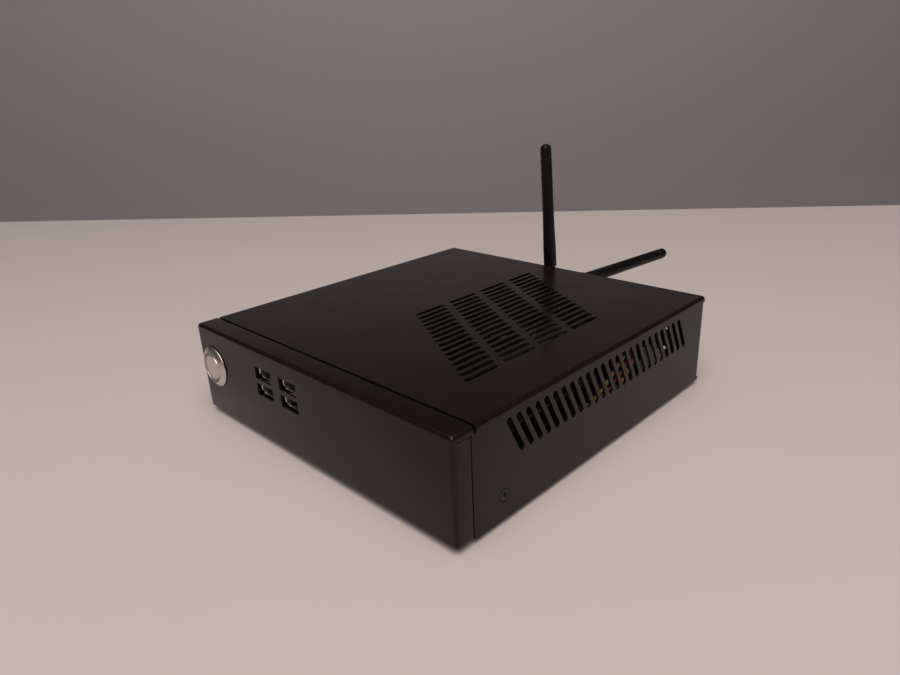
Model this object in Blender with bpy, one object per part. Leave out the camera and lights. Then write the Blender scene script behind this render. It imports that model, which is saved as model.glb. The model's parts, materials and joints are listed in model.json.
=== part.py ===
"""Small desktop computer: a folded steel case round a 170 mm square mainboard.

Lengths are millimetres and become metres when a mesh is made. X runs from the
case's middle to its right, Y from its front face to its back, and Z up from
the lower edge of its shell. The empty named case holds everything and puts
the whole object's box on the origin, with the rubber feet at height zero.
"""

import math

import bmesh
import bpy
from mathutils import Matrix, Vector

MM = 0.001

# Case
WIDTH = 193.0
DEPTH = 200.0
HEIGHT = 50.0
SHEET = 1.2
GAP = 0.3
BEND = 2.0
BEND_STEPS = 3
SHARP = math.radians(35)
FOOT_HEIGHT = 2.5
SEAM = 1.0
SIDE_SEAM_Y = 9.3
TOP_SEAM_Y = 11.5

# Power button
BUTTON_X = -82.0
BUTTON_Z = 28.5
BUTTON_HEAD_R = 11.25
BUTTON_BODY_R = 9.4
BUTTON_CAP_R = 6.9
BUTTON_PROUD = 2.3

# Front sockets, each a stack of two
SOCKET_X = (-32.3, -11.2)
SOCKET_Z = (28.25, 37.1)
SOCKET_WINDOW = (14.2, 6.4)
SOCKET_MOUTH = (12.5, 5.1)
SOCKET_RECESS = 2.6

# Vents
TOP_VENT_ROWS = 4
TOP_VENT_COLUMNS = 16
TOP_VENT_PITCH = 5.09
TOP_VENT_ROW_PITCH = 25.9
TOP_VENT_STEP = 2.94
TOP_VENT_SLOT = (3.0, 21.2)
TOP_VENT_CENTRE = (29.3, 108.9)
SIDE_VENT_COUNT = 24
SIDE_VENT_PITCH = 6.02
SIDE_VENT_SLOT = (2.9, 20.3)
SIDE_VENT_FIRST_Y = 35.9
SIDE_VENT_Z = 36.1
SIDE_VENT_SLANT = math.radians(27.8)

# Mainboard and its cooler
BOARD = 170.0
BOARD_Z = (6.7, 8.3)
BOARD_BACK = 196.5
BOARD_HOLE_X = 78.65
BOARD_HOLE_Y = (31.4, 186.3)
COOLER = TOP_VENT_CENTRE
FAN_SIZE = 80.0
FAN_Z = (29.3, 44.3)

# Antennas: hinge centre behind the case, and the pose that each is left in
ANTENNA_Z = 39.0
ANTENNA_HINGE_Y = DEPTH + 16.0
ANTENNA_REACH = 85.8
ANTENNAS = {
    "left": {"x": -19.25, "swivel": -3.34, "fold": 0.0},
    "right": {"x": 5.3, "swivel": 79.7, "fold": 80.3},
}

WHIP_R = (3.7, 4.1, 3.9, 3.7, 3.6)
WHIP_TIP_R = 3.5
JACK_R = 3.1
JACK_FLANGE_R = 4.6
COUPLING_R = 5.0
COUPLING_Y = (DEPTH + 2.6, DEPTH + 10.0)
KNUCKLE_Y = (DEPTH + 10.3, ANTENNA_HINGE_Y - 4.5)
KNUCKLE_R = 4.8
EAR_R = 4.2
EAR_X = (1.8, 4.3)
TAB_HALF = 1.5
PIN_R = 1.2

# Levels and planes that several pieces share
INSIDE_X = WIDTH / 2 - SHEET
PLATE_Z = (SHEET + GAP, 2 * SHEET + GAP)
TRAY_Z = HEIGHT - BEND - SHEET
CHASSIS_X = INSIDE_X - GAP
FRONT_WALL_Y = (SHEET + 2 * GAP, 2 * SHEET + 2 * GAP)
BACK_PANEL_Y = (DEPTH - SHEET - GAP - SHEET, DEPTH - SHEET - GAP)
BOARD_TOP_Z = BOARD_Z[1] + GAP
FOLD = math.radians(ANTENNAS["right"]["fold"])
REACH_BACK = ANTENNA_HINGE_Y + WHIP_TIP_R + (ANTENNA_REACH - WHIP_TIP_R) * math.sin(FOLD)

# Chassis
CHASSIS_LIP_Y = (24.0, 188.0)
CHASSIS_FLANGE_Y = (4.5, 194.0)
CHASSIS_FLANGE_TOP = 18.0
CHASSIS_RELIEF_X = (40.0, 80.0)
STACK_CUTOUT_X = (-45.0, 2.0)
STACK_CUTOUT_Z = (22.0, 44.0)
BOARD_POST_R = 3.0
USB_POST_R = 2.8

# Cover
COVER_FLAP_WIDTH = 13.0
COVER_FLAP_Z = (2.5, 46.0)

# Screws and feet
SIDE_SCREW_Y, SIDE_SCREW_Z = 28.5, 11.5
REAR_SCREW_X, REAR_SCREW_Z = 89.0, 24.0
BEZEL_SCREW_X, BEZEL_SCREW_Y = 60.0, 5.6
SCREW_R = 1.3
SCREW_HEAD_R = 2.75
SCREW_HOLE_R = 1.6
SCREW_CLEAR_R = 1.8
HEX_ACROSS = 2.0
HEX_DEPTH = 1.1
FOOT_X, FOOT_Y = 78.0, (21.0, 179.0)
FOOT_R = 6.0

# Inside the power button
BUTTON_BORE_R = BUTTON_CAP_R + GAP
BUTTON_RING_R = 7.9
BUTTON_STROKE = 1.2
BUTTON_BACK = 22.0
BUTTON_STEM_R = 3.0
BUTTON_STEM_END = 12.0
BUTTON_NUT_R = 11.4
BUTTON_NUT_THICK = 2.7
CONTACT_BLOCK_R = 8.6
CONTACT_BLOCK_BACK = 27.5
CONTACT_BLADE = (2.4, 0.6, 5.5)
CONTACT_BLADE_AT = (3.0, 4.0)

# Stacks of two plug sockets, and the board that holds the front ones
STACK_WIDTH = 13.1
STACK_DEPTH = 17.4
STACK_WALL = 0.3
STACK_REAR = 13.2
STACK_PITCH = SOCKET_Z[1] - SOCKET_Z[0]
STACK_HEIGHT = STACK_PITCH + SOCKET_MOUTH[1] + 2 * STACK_WALL
STACK_MIDDLE_Z = sum(SOCKET_Z) / 2
TONGUE = (11.1, 1.85)
TONGUE_RISE = 0.98
TONGUE_FRONT = 1.4
USB_BOARD_LOW = (-54.0, 3.6, 23.4)
USB_BOARD_HIGH = (10.0, 26.0, 25.0)
USB_POST_X = (-49.0, 5.0)
USB_POST_Y = 21.0

# Mainboard: each header is two corners on its surface and a height
HEADERS = [
    ((-76.0, 42.0), (-66.0, 47.0), 5.7),
    ((-22.0, 36.0), (-4.0, 41.5), 6.7),
    ((-46.0, 152.0), (-34.0, 158.0), 6.7),
    ((75.5, 80.0), (83.5, 96.0), 9.2),
    ((72.5, 176.0), (84.0, 183.0), 12.2),
]
PROCESSOR_CARRIER = (46.0, 3.0)
PROCESSOR_DIE = 32.0
PROCESSOR_TOP = 13.1
MEMORY_Y = (72.0, 146.0)
MEMORY_SOCKET_X = (-26.0, -18.0)
MEMORY_SOCKET_TOP = 14.5
MEMORY_X = (-52.6, -22.6)
MEMORY_Z = (11.6, 12.8)
MEMORY_CHIP_X = (-48.0, -34.0)
MEMORY_CHIP_Y = (79.0, 93.0, 115.0, 129.0)
MEMORY_CHIP = (10.0, 1.1)
WIRELESS_LOW = (-74.0, 128.0, BOARD_TOP_Z + 2.0)
WIRELESS_HIGH = (-52.0, 158.0, BOARD_TOP_Z + 2.9)
WIRELESS_SHIELD_LOW = (-71.0, 132.0, BOARD_TOP_Z + 2.5)
WIRELESS_SHIELD_HIGH = (-55.0, 148.0, BOARD_TOP_Z + 4.6)

# Cooler
HEATSINK_HALF = 42.0
HEATSINK_FINS = 15
HEATSINK_BASE = 4.0
FIN_SHARE = 0.36
FAN_BORE_R = 38.2
FAN_BLADES = 7
FAN_HUB_R = 13.0
FAN_SPIDER = 2.2
FAN_SPOKE_HALF = 2.0
FAN_SCREW_IN = 4.3
FAN_SCREW_R = 2.1
FAN_AXLE_R = 1.2

# Back sockets: each one's middle in X, width, height and depth
IO_SIZE = (158.75, 25.0)
IO_MIDDLE_Z = BOARD_Z[1] - 2.24 + IO_SIZE[1] / 2
IO_FACE_Y = BACK_PANEL_Y[1] + 0.6
IO_BLOCKS = {
    "dc_jack": (68.0, 9.0, 11.0, 14.0),
    "hdmi_port": (50.0, 15.2, 6.4, 12.0),
    "lan_port": (27.0, 16.2, 13.4, 21.0),
    "audio_jacks": (-66.0, 14.6, 6.6, 13.0),
}
BACK_USB_X = {"left": -40.0, "right": -18.0}
LAN_MOUTH = (11.9, 8.2, 14.0)
LAN_MOUTH_Z = 6.0
LAN_LATCH = (6.2, 2.6)
LAN_LATCH_Z = 2.2
HDMI_MOUTH = (14.0, 4.8, 9.0)
HDMI_TONGUE = (11.0, 1.2)
DC_MOUTH_R = 3.2
DC_PIN_R = 1.1
DC_DEPTH = 10.0
AUDIO_OFFSET = 3.6
AUDIO_COLLAR_R = 2.9
AUDIO_MOUTH_R = 1.8
AUDIO_DEPTH = 11.0

# Drive, on a bracket of folded sheet
DRIVE_LOW = (-91.2, 38.0, 30.0)
DRIVE_HIGH = (-21.4, 138.0, 37.0)
DRIVE_SOCKET = ((-74.0, 134.0, 31.5), (-38.0, 145.0, 35.5))
BRACKET_X = -93.2
BRACKET_Y = 24.4
BRACKET_ARM_X = (-69.0, -54.0)
BRACKET_LEG_X = (-67.0, -56.0)
BRACKET_LEG_Y = (60.0, 120.0)
BRACKET_TOE = 6.5

# The flat harness: points of its route, half width there, and which way is wide
HARNESS_THICK = 3.0
HARNESS = [
    ((79.5, 97.0, 13.0), 3.2, (1, 0, 0)),
    ((80.0, 100.8, 13.5), 3.4, (1, 0, 0.15)),
    ((84.6, 106.5, 17.0), 4.6, (0.6, -0.25, 0.75)),
    ((88.6, 113.5, 22.0), 5.8, (0.1, -0.42, 0.9)),
    ((89.2, 123.0, 27.5), 6.2, (0, -0.43, 0.9)),
    ((88.8, 133.0, 33.0), 6.0, (0, -0.43, 0.9)),
    ((86.5, 142.0, 37.4), 5.2, (0, -0.3, 0.95)),
    ((80.5, 150.5, 40.0), 4.5, (0, 0, 1)),
    ((70.0, 157.5, 40.8), 4.2, (0, 0, 1)),
    ((52.0, 162.0, 40.6), 4.0, (0, 0, 1)),
    ((30.0, 164.5, 40.3), 4.0, (0, 0, 1)),
    ((5.0, 165.0, 40.0), 4.0, (0, 0, 1)),
    ((-25.0, 163.0, 39.5), 4.0, (0, 0, 1)),
    ((-48.0, 157.5, 38.0), 4.0, (0.1, 0, 1)),
    ((-60.0, 151.5, 36.0), 4.0, (0.4, -0.1, 0.9)),
    ((-65.2, 145.0, 34.2), 4.0, (0.8, 0, 0.6)),
    ((-66.0, 138.6, 33.5), 4.0, (1, 0, 0)),
]

# Round leads: each one's radius, and the points of its route
LEADS = {
    "drive_data_lead": (
        1.5,
        [(-44, 138.6, 33.5), (-44, 143, 33), (-42, 150, 27), (-40, 154.6, 20), (-40, 155, 15.4)],
    ),
    "front_panel_lead": (
        1.5,
        [(-82, 33.5, 28.5), (-81, 36, 26), (-77, 41, 20), (-72, 44.5, 17), (-71.8, 44.6, 14.4)],
    ),
    "front_usb_lead": (
        1.7,
        [(-24, 26.5, 24.2), (-22, 31, 24), (-14, 38, 20), (-13, 38.6, 15.6)],
    ),
    "antenna_lead_left": (
        0.8,
        [
            (-19.25, 190.4, 39),
            (-21.25, 184, 36.5),
            (-31.25, 176, 28),
            (-52, 168, 18),
            (-62, 160, 13),
            (-64, 155.5, 12.4),
        ],
    ),
    "antenna_lead_right": (
        0.8,
        [
            (5.3, 190.4, 39),
            (3.3, 184, 36.5),
            (-12.7, 176, 28),
            (-46, 165, 18),
            (-56, 160, 13),
            (-58, 155.5, 12.4),
        ],
    ),
}
LEAD_SPACING = 5.0


# ---------------------------------------------------------------- materials
MATERIALS = {
    "black_coat": ((0.016, 0.014, 0.013, 1), 0.38, 0.0),
    "raw_steel": ((0.56, 0.55, 0.53, 1), 0.3, 1.0),
    "stainless": ((0.66, 0.63, 0.59, 1), 0.22, 1.0),
    "zinc_black": ((0.03, 0.03, 0.03, 1), 0.35, 0.6),
    "rubber": ((0.02, 0.02, 0.02, 1), 0.8, 0.0),
    "black_plastic": ((0.012, 0.012, 0.013, 1), 0.5, 0.0),
    "board_green": ((0.01, 0.06, 0.035, 1), 0.4, 0.0),
    "aluminium": ((0.7, 0.7, 0.71, 1), 0.3, 1.0),
    "brass": ((0.75, 0.56, 0.25, 1), 0.28, 1.0),
    "harness": ((0.6, 0.42, 0.05, 1), 0.45, 0.0),
    "lens": ((0.75, 0.74, 0.7, 1), 0.35, 0.0),
}


def material(name):
    found = bpy.data.materials.get(name)
    if found:
        return found
    colour, roughness, metallic = MATERIALS[name]
    made = bpy.data.materials.new(name)
    made.use_nodes = True
    shader = made.node_tree.nodes["Principled BSDF"]
    shader.inputs["Base Color"].default_value = colour
    shader.inputs["Roughness"].default_value = roughness
    shader.inputs["Metallic"].default_value = metallic
    made.diffuse_color = colour
    return made


# ------------------------------------------------------------------- shapes
def block(low, high, bm=None):
    """A box between two corners, added to bm if one is given."""
    bm = bm or bmesh.new()
    low, high = Vector(low), Vector(high)
    place = Matrix.Translation((low + high) / 2) @ Matrix.Diagonal((*(high - low), 1))
    bmesh.ops.create_cube(bm, size=1, matrix=place)
    return bm


def blocks(corners):
    bm = bmesh.new()
    for low, high in corners:
        block(low, high, bm)
    return bm


def centred(x, z, width, height, y_low, y_high):
    """Corners of a box that is centred on x and z."""
    return (
        (x - width / 2, y_low, z - height / 2),
        (x + width / 2, y_high, z + height / 2),
    )


def raised(x_ends, y_ends, low, high):
    """Corners of a box from its two ends in X and in Y, and its two levels."""
    return ((x_ends[0], y_ends[0], low), (x_ends[1], y_ends[1], high))


def prism(outline, low, high, axis, bm=None):
    """An outline pushed along axis. It lies in the other two axes, in order."""
    bm = bm or bmesh.new()
    spots = {
        "x": lambda a, b, c: (c, a, b),
        "y": lambda a, b, c: (a, c, b),
        "z": lambda a, b, c: (a, b, c),
    }[axis]
    ends = [[bm.verts.new(spots(a, b, c)) for a, b in outline] for c in (low, high)]
    bm.faces.new(ends[0])
    bm.faces.new(ends[1][::-1])
    skin(bm, ends)
    return bm


def skin(bm, rings):
    """Faces between each ring of points and the next."""
    count = len(rings[0])
    for one, two in zip(rings, rings[1:]):
        for i in range(count):
            j = (i + 1) % count
            corners = list(dict.fromkeys((one[i], one[j], two[j], two[i])))
            if len(corners) > 2:
                bm.faces.new(corners)


def turned(profile, steps, axis="z", closed=False):
    """A profile of (radius, height) points turned round an axis.

    An open profile starts and ends on the axis; a closed one is a ring's.
    """
    spots = {
        "x": lambda r, h, a: (h, r * math.cos(a), r * math.sin(a)),
        "y": lambda r, h, a: (r * math.sin(a), h, r * math.cos(a)),
        "z": lambda r, h, a: (r * math.cos(a), r * math.sin(a), h),
    }[axis]
    bm = bmesh.new()
    angles = [2 * math.pi * i / steps for i in range(steps)]
    rings = []
    for radius, height in profile:
        if radius == 0:
            rings.append([bm.verts.new(spots(0, height, 0))] * steps)
        else:
            rings.append([bm.verts.new(spots(radius, height, a)) for a in angles])
    if closed:
        rings.append(rings[0])
    skin(bm, rings)
    return bm


def cylinder(centre, radius, low, high, axis, steps=16):
    """A plain cylinder whose axis passes through centre, two coordinates."""
    bm = turned([(0, low), (radius, low), (radius, high), (0, high)], steps, axis)
    a, b = centre
    offset = {"x": (0, a, b), "y": (a, 0, b), "z": (a, b, 0)}[axis]
    bmesh.ops.translate(bm, verts=bm.verts, vec=offset)
    return bm


def merged(shapes):
    """Several shapes in one mesh, for a cutter or for a union."""
    bm = bmesh.new()
    for shape in shapes:
        mesh = bpy.data.meshes.new("merge")
        shape.to_mesh(mesh)
        shape.free()
        bm.from_mesh(mesh)
        bpy.data.meshes.remove(mesh)
    return bm


def bent(path, radius=BEND - SHEET / 2, thick=SHEET, steps=BEND_STEPS):
    """Outline of a sheet of even thickness whose middle follows path."""
    points = [Vector(p) for p in path]
    middle = [(points[0], (points[1] - points[0]).normalized())]
    for before, corner, after in zip(points, points[1:], points[2:]):
        inward = (corner - before).normalized()
        outward = (after - corner).normalized()
        centre = corner - inward * radius + outward * radius
        for i in range(steps + 1):
            turn = math.pi / 2 * i / steps
            spoke = -outward * math.cos(turn) + inward * math.sin(turn)
            along = inward * math.cos(turn) + outward * math.sin(turn)
            middle.append((centre + spoke * radius, along))
    middle.append((points[-1], (points[-1] - points[-2]).normalized()))
    sides = []
    for side in (thick / 2, -thick / 2):
        sides.append([p + Vector((-d.y, d.x)) * side for p, d in middle])
    return [tuple(p) for p in sides[0] + sides[1][::-1]]


def capsule(centre, width, length, lean=0.0, steps=3):
    """Outline of a round-ended slot, upright or leaning by an angle."""
    radius = width / 2
    reach = length / 2 - radius
    outline = []
    for end in (1, -1):
        for i in range(steps + 1):
            a = math.pi * (i / steps + (end == -1))
            x, y = radius * math.cos(a), radius * math.sin(a) + end * reach
            outline.append(
                (
                    centre[0] + x * math.cos(lean) - y * math.sin(lean),
                    centre[1] + x * math.sin(lean) + y * math.cos(lean),
                )
            )
    return outline


def half_round(radius, start, steps=6):
    """Points of half a circle, from an angle in degrees onward."""
    angles = [math.radians(start + 180 * i / steps) for i in range(steps + 1)]
    return [(radius * math.cos(a), radius * math.sin(a)) for a in angles]


def smooth_path(rows, spacing):
    """Rows of vectors, with more of them on the smooth curves between them.

    The first vector of each row is a place, and spacing is the step along it.
    """
    rows = [[Vector(value) for value in row] for row in rows]
    before = [2 * a - b for a, b in zip(rows[0], rows[1])]
    after = [2 * a - b for a, b in zip(rows[-1], rows[-2])]
    ends = [before] + rows + [after]
    path = []
    for four in zip(ends, ends[1:], ends[2:], ends[3:]):
        count = max(2, round((four[2][0] - four[1][0]).length / spacing))
        for k in range(count):
            path.append([between(values, k / count) for values in zip(*four)])
    return path + [rows[-1]]


def between(values, t):
    """A point on the curve from the second of four values to the third."""
    a, b, c, d = values
    straight = 2 * b + (c - a) * t
    curved = (2 * a - 5 * b + 4 * c - d) * t * t + (3 * b - a - 3 * c + d) * t**3
    return 0.5 * (straight + curved)


# ------------------------------------------------------------------ objects
def mesh_of(name, bm):
    bmesh.ops.recalc_face_normals(bm, faces=bm.faces)
    bmesh.ops.scale(bm, vec=(MM, MM, MM), verts=bm.verts)
    mesh = bpy.data.meshes.new(name)
    bm.to_mesh(mesh)
    bm.free()
    return mesh


def add(name, data, parent, at=(0, 0, 0), turn=(0, 0, 0)):
    made = bpy.data.objects.new(name, data)
    bpy.context.scene.collection.objects.link(made)
    made.parent = parent
    made.location = Vector(at) * MM
    made.rotation_euler = [math.radians(angle) for angle in turn]
    return made


def piece(name, bm, finish, parent=None, at=(0, 0, 0), turn=(0, 0, 0), smooth=True):
    """One sub-part, with its material, held by the case unless told."""
    mesh = mesh_of(name, bm)
    if smooth:
        mesh.shade_smooth()
        mesh.set_sharp_from_angle(angle=SHARP)
    mesh.materials.append(material(finish))
    return add(name, mesh, parent or CASE, at, turn)


def tool(target, bm, operation):
    """A hidden shape that is cut from, or joined to, target."""
    name = f"{target.name}_{operation.lower()}"
    helper = add(name, mesh_of(name, bm), target)
    helper.hide_render = True
    helper.display_type = "WIRE"
    modifier = target.modifiers.new(name, "BOOLEAN")
    modifier.operation = operation
    modifier.object = helper


def cut(target, *shapes):
    for shape in shapes:
        tool(target, shape, "DIFFERENCE")


def join(target, *shapes):
    for shape in shapes:
        tool(target, shape, "UNION")


# --------------------------------------------------------------- sheet metal
def chassis_outline():
    """Side view of the folded sheet: lip, front wall, floor, back panel, lip."""
    half = SHEET / 2
    floor_z = PLATE_Z[0] + half
    lip_z = HEIGHT - SHEET - GAP - half
    front_y, back_y = FRONT_WALL_Y[0] + half, BACK_PANEL_Y[0] + half
    path = [
        (CHASSIS_LIP_Y[0], lip_z),
        (front_y, lip_z),
        (front_y, floor_z),
        (back_y, floor_z),
        (back_y, lip_z),
        (CHASSIS_LIP_Y[1], lip_z),
    ]
    return bent(path)


def make_chassis():
    """Floor, inner front wall and back panel, folded from one sheet."""
    chassis = piece(
        "chassis", prism(chassis_outline(), -CHASSIS_X, CHASSIS_X, "x"), "black_coat"
    )
    root_z = PLATE_Z[0] + SHEET / 2
    flanges = []
    for side in (-1, 1):
        ends = sorted((side * CHASSIS_X, side * (CHASSIS_X - SHEET)))
        flanges.append(raised(ends, CHASSIS_FLANGE_Y, root_z, CHASSIS_FLANGE_TOP))
    join(chassis, blocks(flanges))
    posts = [
        cylinder((x, y), BOARD_POST_R, root_z, BOARD_Z[0] - GAP, "z", 10)
        for x in (-BOARD_HOLE_X, BOARD_HOLE_X)
        for y in BOARD_HOLE_Y
    ]
    posts += [
        cylinder((x, USB_POST_Y), USB_POST_R, root_z, USB_BOARD_LOW[2] - GAP, "z", 8)
        for x in USB_POST_X
    ]
    join(chassis, merged(posts))

    wall = (FRONT_WALL_Y[0] - SHEET, FRONT_WALL_Y[1] + SHEET)
    panel = (BACK_PANEL_Y[0] - SHEET, BACK_PANEL_Y[1] + SHEET)
    relief_y = (wall[1] + BEND + SHEET, CHASSIS_LIP_Y[0] + BEND)
    openings = [
        raised(STACK_CUTOUT_X, wall, *STACK_CUTOUT_Z),
        centred(0, IO_MIDDLE_Z, *IO_SIZE, *panel),
        raised(CHASSIS_RELIEF_X, relief_y, TRAY_Z, HEIGHT),
    ]
    cut(chassis, blocks(openings))
    holes = [cylinder((BUTTON_X, BUTTON_Z), BUTTON_BODY_R + GAP, *wall, "y", 24)]
    for antenna in ANTENNAS.values():
        holes.append(cylinder((antenna["x"], ANTENNA_Z), JACK_R + GAP, *panel, "y", 14))
    for side in (-1, 1):
        screw = (side * REAR_SCREW_X, REAR_SCREW_Z)
        holes.append(cylinder(screw, SCREW_HOLE_R, *panel, "y", 10))
        ends = sorted((side * (CHASSIS_X - 2 * SHEET), side * (CHASSIS_X + SHEET)))
        screw = (SIDE_SCREW_Y, SIDE_SCREW_Z)
        holes.append(cylinder(screw, SCREW_CLEAR_R, *ends, "x", 10))
        screw = (side * BEZEL_SCREW_X, BEZEL_SCREW_Y)
        holes.append(cylinder(screw, SCREW_HOLE_R, 0, PLATE_Z[1] + SHEET, "z", 10))
    cut(chassis, merged(holes))


def make_bezel():
    """Front face with flanges turned back on all four sides."""
    half = WIDTH / 2
    bm = block((-half, 0, 0), (half, TOP_SEAM_Y, HEIGHT))
    edges = [
        e
        for e in bm.edges
        if all(v.co.y == 0 for v in e.verts) or e.verts[0].co.y != e.verts[1].co.y
    ]
    bmesh.ops.bevel(
        bm,
        geom=edges,
        offset=BEND,
        segments=BEND_STEPS,
        profile=0.5,
        affect="EDGES",
        clamp_overlap=True,
    )
    bezel = piece("front_bezel", bm, "black_coat")
    beyond = TOP_SEAM_Y + BEND
    cut(bezel, block((-INSIDE_X, SHEET, SHEET), (INSIDE_X, beyond, HEIGHT - SHEET)))
    # The flanges on the sides and below are shorter than the one on top.
    cut(bezel, block((-WIDTH, SIDE_SEAM_Y, -BEND), (WIDTH, beyond, TRAY_Z)))
    through = (-SHEET, 2 * SHEET)
    windows = [centred(x, z, *SOCKET_WINDOW, *through) for x in SOCKET_X for z in SOCKET_Z]
    cut(bezel, blocks(windows))
    holes = [cylinder((BUTTON_X, BUTTON_Z), BUTTON_BODY_R + GAP, *through, "y", 24)]
    for side in (-1, 1):
        screw = (side * BEZEL_SCREW_X, BEZEL_SCREW_Y)
        holes.append(cylinder(screw, SCREW_HOLE_R, *through, "z", 10))
    cut(bezel, merged(holes))


def top_vents():
    """Upright slots in four rows, each next one a step nearer the front."""
    bm = bmesh.new()
    middle = (TOP_VENT_COLUMNS - 1) / 2
    for row in range(TOP_VENT_ROWS):
        row_y = TOP_VENT_CENTRE[1] + (row - (TOP_VENT_ROWS - 1) / 2) * TOP_VENT_ROW_PITCH
        for column in range(TOP_VENT_COLUMNS):
            x = TOP_VENT_CENTRE[0] + (column - middle) * TOP_VENT_PITCH
            y = row_y - (column - middle) * TOP_VENT_STEP
            outline = capsule((x, y), *TOP_VENT_SLOT)
            prism(outline, HEIGHT - 2 * SHEET, HEIGHT + SHEET, "z", bm)
    return bm


def side_vents():
    """Leaning slots, cut through both sides at once."""
    bm = bmesh.new()
    for i in range(SIDE_VENT_COUNT):
        y = SIDE_VENT_FIRST_Y + i * SIDE_VENT_PITCH
        outline = capsule((y, SIDE_VENT_Z), *SIDE_VENT_SLOT, lean=SIDE_VENT_SLANT)
        prism(outline, -WIDTH, WIDTH, "x", bm)
    return bm


def make_cover():
    """Top and both sides, folded from one sheet, with two back flanges."""
    middle_x = WIDTH / 2 - SHEET / 2
    middle_z = HEIGHT - SHEET / 2
    path = [(-middle_x, 0), (-middle_x, middle_z), (middle_x, middle_z), (middle_x, 0)]
    front = SIDE_SEAM_Y + SEAM
    cover = piece("top_cover", prism(bent(path), front, DEPTH, "y"), "black_coat")
    flaps = []
    for side in (-1, 1):
        ends = sorted((side * middle_x, side * (WIDTH / 2 - COVER_FLAP_WIDTH)))
        flaps.append(raised(ends, (DEPTH - SHEET, DEPTH), *COVER_FLAP_Z))
    join(cover, blocks(flaps))
    top_front = TOP_SEAM_Y + SEAM
    cut(cover, block((-WIDTH, 0, TRAY_Z), (WIDTH, top_front, HEIGHT + SHEET)))
    cut(cover, top_vents())
    cut(cover, side_vents())
    holes = []
    for side in (-1, 1):
        screw = (side * REAR_SCREW_X, REAR_SCREW_Z)
        holes.append(
            cylinder(screw, SCREW_HOLE_R + 0.1, DEPTH - 2 * SHEET, DEPTH + SHEET, "y", 10)
        )
        holes.append(screw_sink(side))
    cut(cover, merged(holes))


def screw_sink(side):
    """Cutter for a flat-headed screw in one side of the cover."""
    wide, seat = SCREW_HEAD_R + 0.75, SCREW_HEAD_R + 0.31
    profile = [(0, 1.5), (wide, 1.5), (seat, 0), (SCREW_CLEAR_R, -SHEET)]
    profile += [(SCREW_CLEAR_R, -3 * SHEET), (0, -3 * SHEET)]
    face = side * WIDTH / 2
    bm = turned([(r, face + side * h) for r, h in profile], 14, "x")
    bmesh.ops.translate(bm, verts=bm.verts, vec=(0, SIDE_SCREW_Y, SIDE_SCREW_Z))
    return bm


# --------------------------------------------------------- screws and feet
def hex_hole(top):
    radius = HEX_ACROSS / math.sqrt(3)
    low, high = top - HEX_DEPTH, top + HEX_DEPTH
    return turned([(0, low), (radius, low), (radius, high), (0, high)], 6)


def raised_head(height, length):
    """Profile of a screw whose head stands on a surface at height zero."""
    rim = 2 * height / 3
    return [
        (0, height),
        (1.9, height),
        (SCREW_HEAD_R, rim),
        (SCREW_HEAD_R, GAP),
        (SCREW_R, GAP),
        (SCREW_R, -length),
        (0, -length),
    ]


def make_screws():
    """Flat-headed side screws, and pan-headed ones behind and below."""
    sunk = [(0, 0), (SCREW_HEAD_R, 0), (SCREW_HEAD_R, -0.15), (1.45, -1.5), (1.45, -7), (0, -7)]
    back, low = raised_head(2.1, 5.2), raised_head(1.7, 4.5)
    for side, word in ((-1, "left"), (1, "right")):
        side_at = (side * WIDTH / 2, SIDE_SCREW_Y, SIDE_SCREW_Z)
        rear_at = (side * REAR_SCREW_X, DEPTH, REAR_SCREW_Z)
        bezel_at = (side * BEZEL_SCREW_X, BEZEL_SCREW_Y, 0)
        spots = {
            f"side_screw_{word}": (sunk, side_at, (0, side * 90, 0)),
            f"rear_screw_{word}": (back, rear_at, (-90, 0, 0)),
            f"bezel_screw_{word}": (low, bezel_at, (180, 0, 0)),
        }
        for name, (profile, at, turn) in spots.items():
            screw = piece(name, turned(profile, 14), "zinc_black", at=at, turn=turn)
            cut(screw, hex_hole(profile[0][1]))


def make_feet():
    low, high = -FOOT_HEIGHT, PLATE_Z[0] - GAP
    profile = [(0, low), (FOOT_R - 1.1, low), (FOOT_R - 0.4, low + 0.7), (FOOT_R, high), (0, high)]
    for x, side in ((-FOOT_X, "left"), (FOOT_X, "right")):
        for y, end in zip(FOOT_Y, ("front", "back")):
            piece(f"foot_{end}_{side}", turned(profile, 18), "rubber", at=(x, y, 0))


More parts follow.
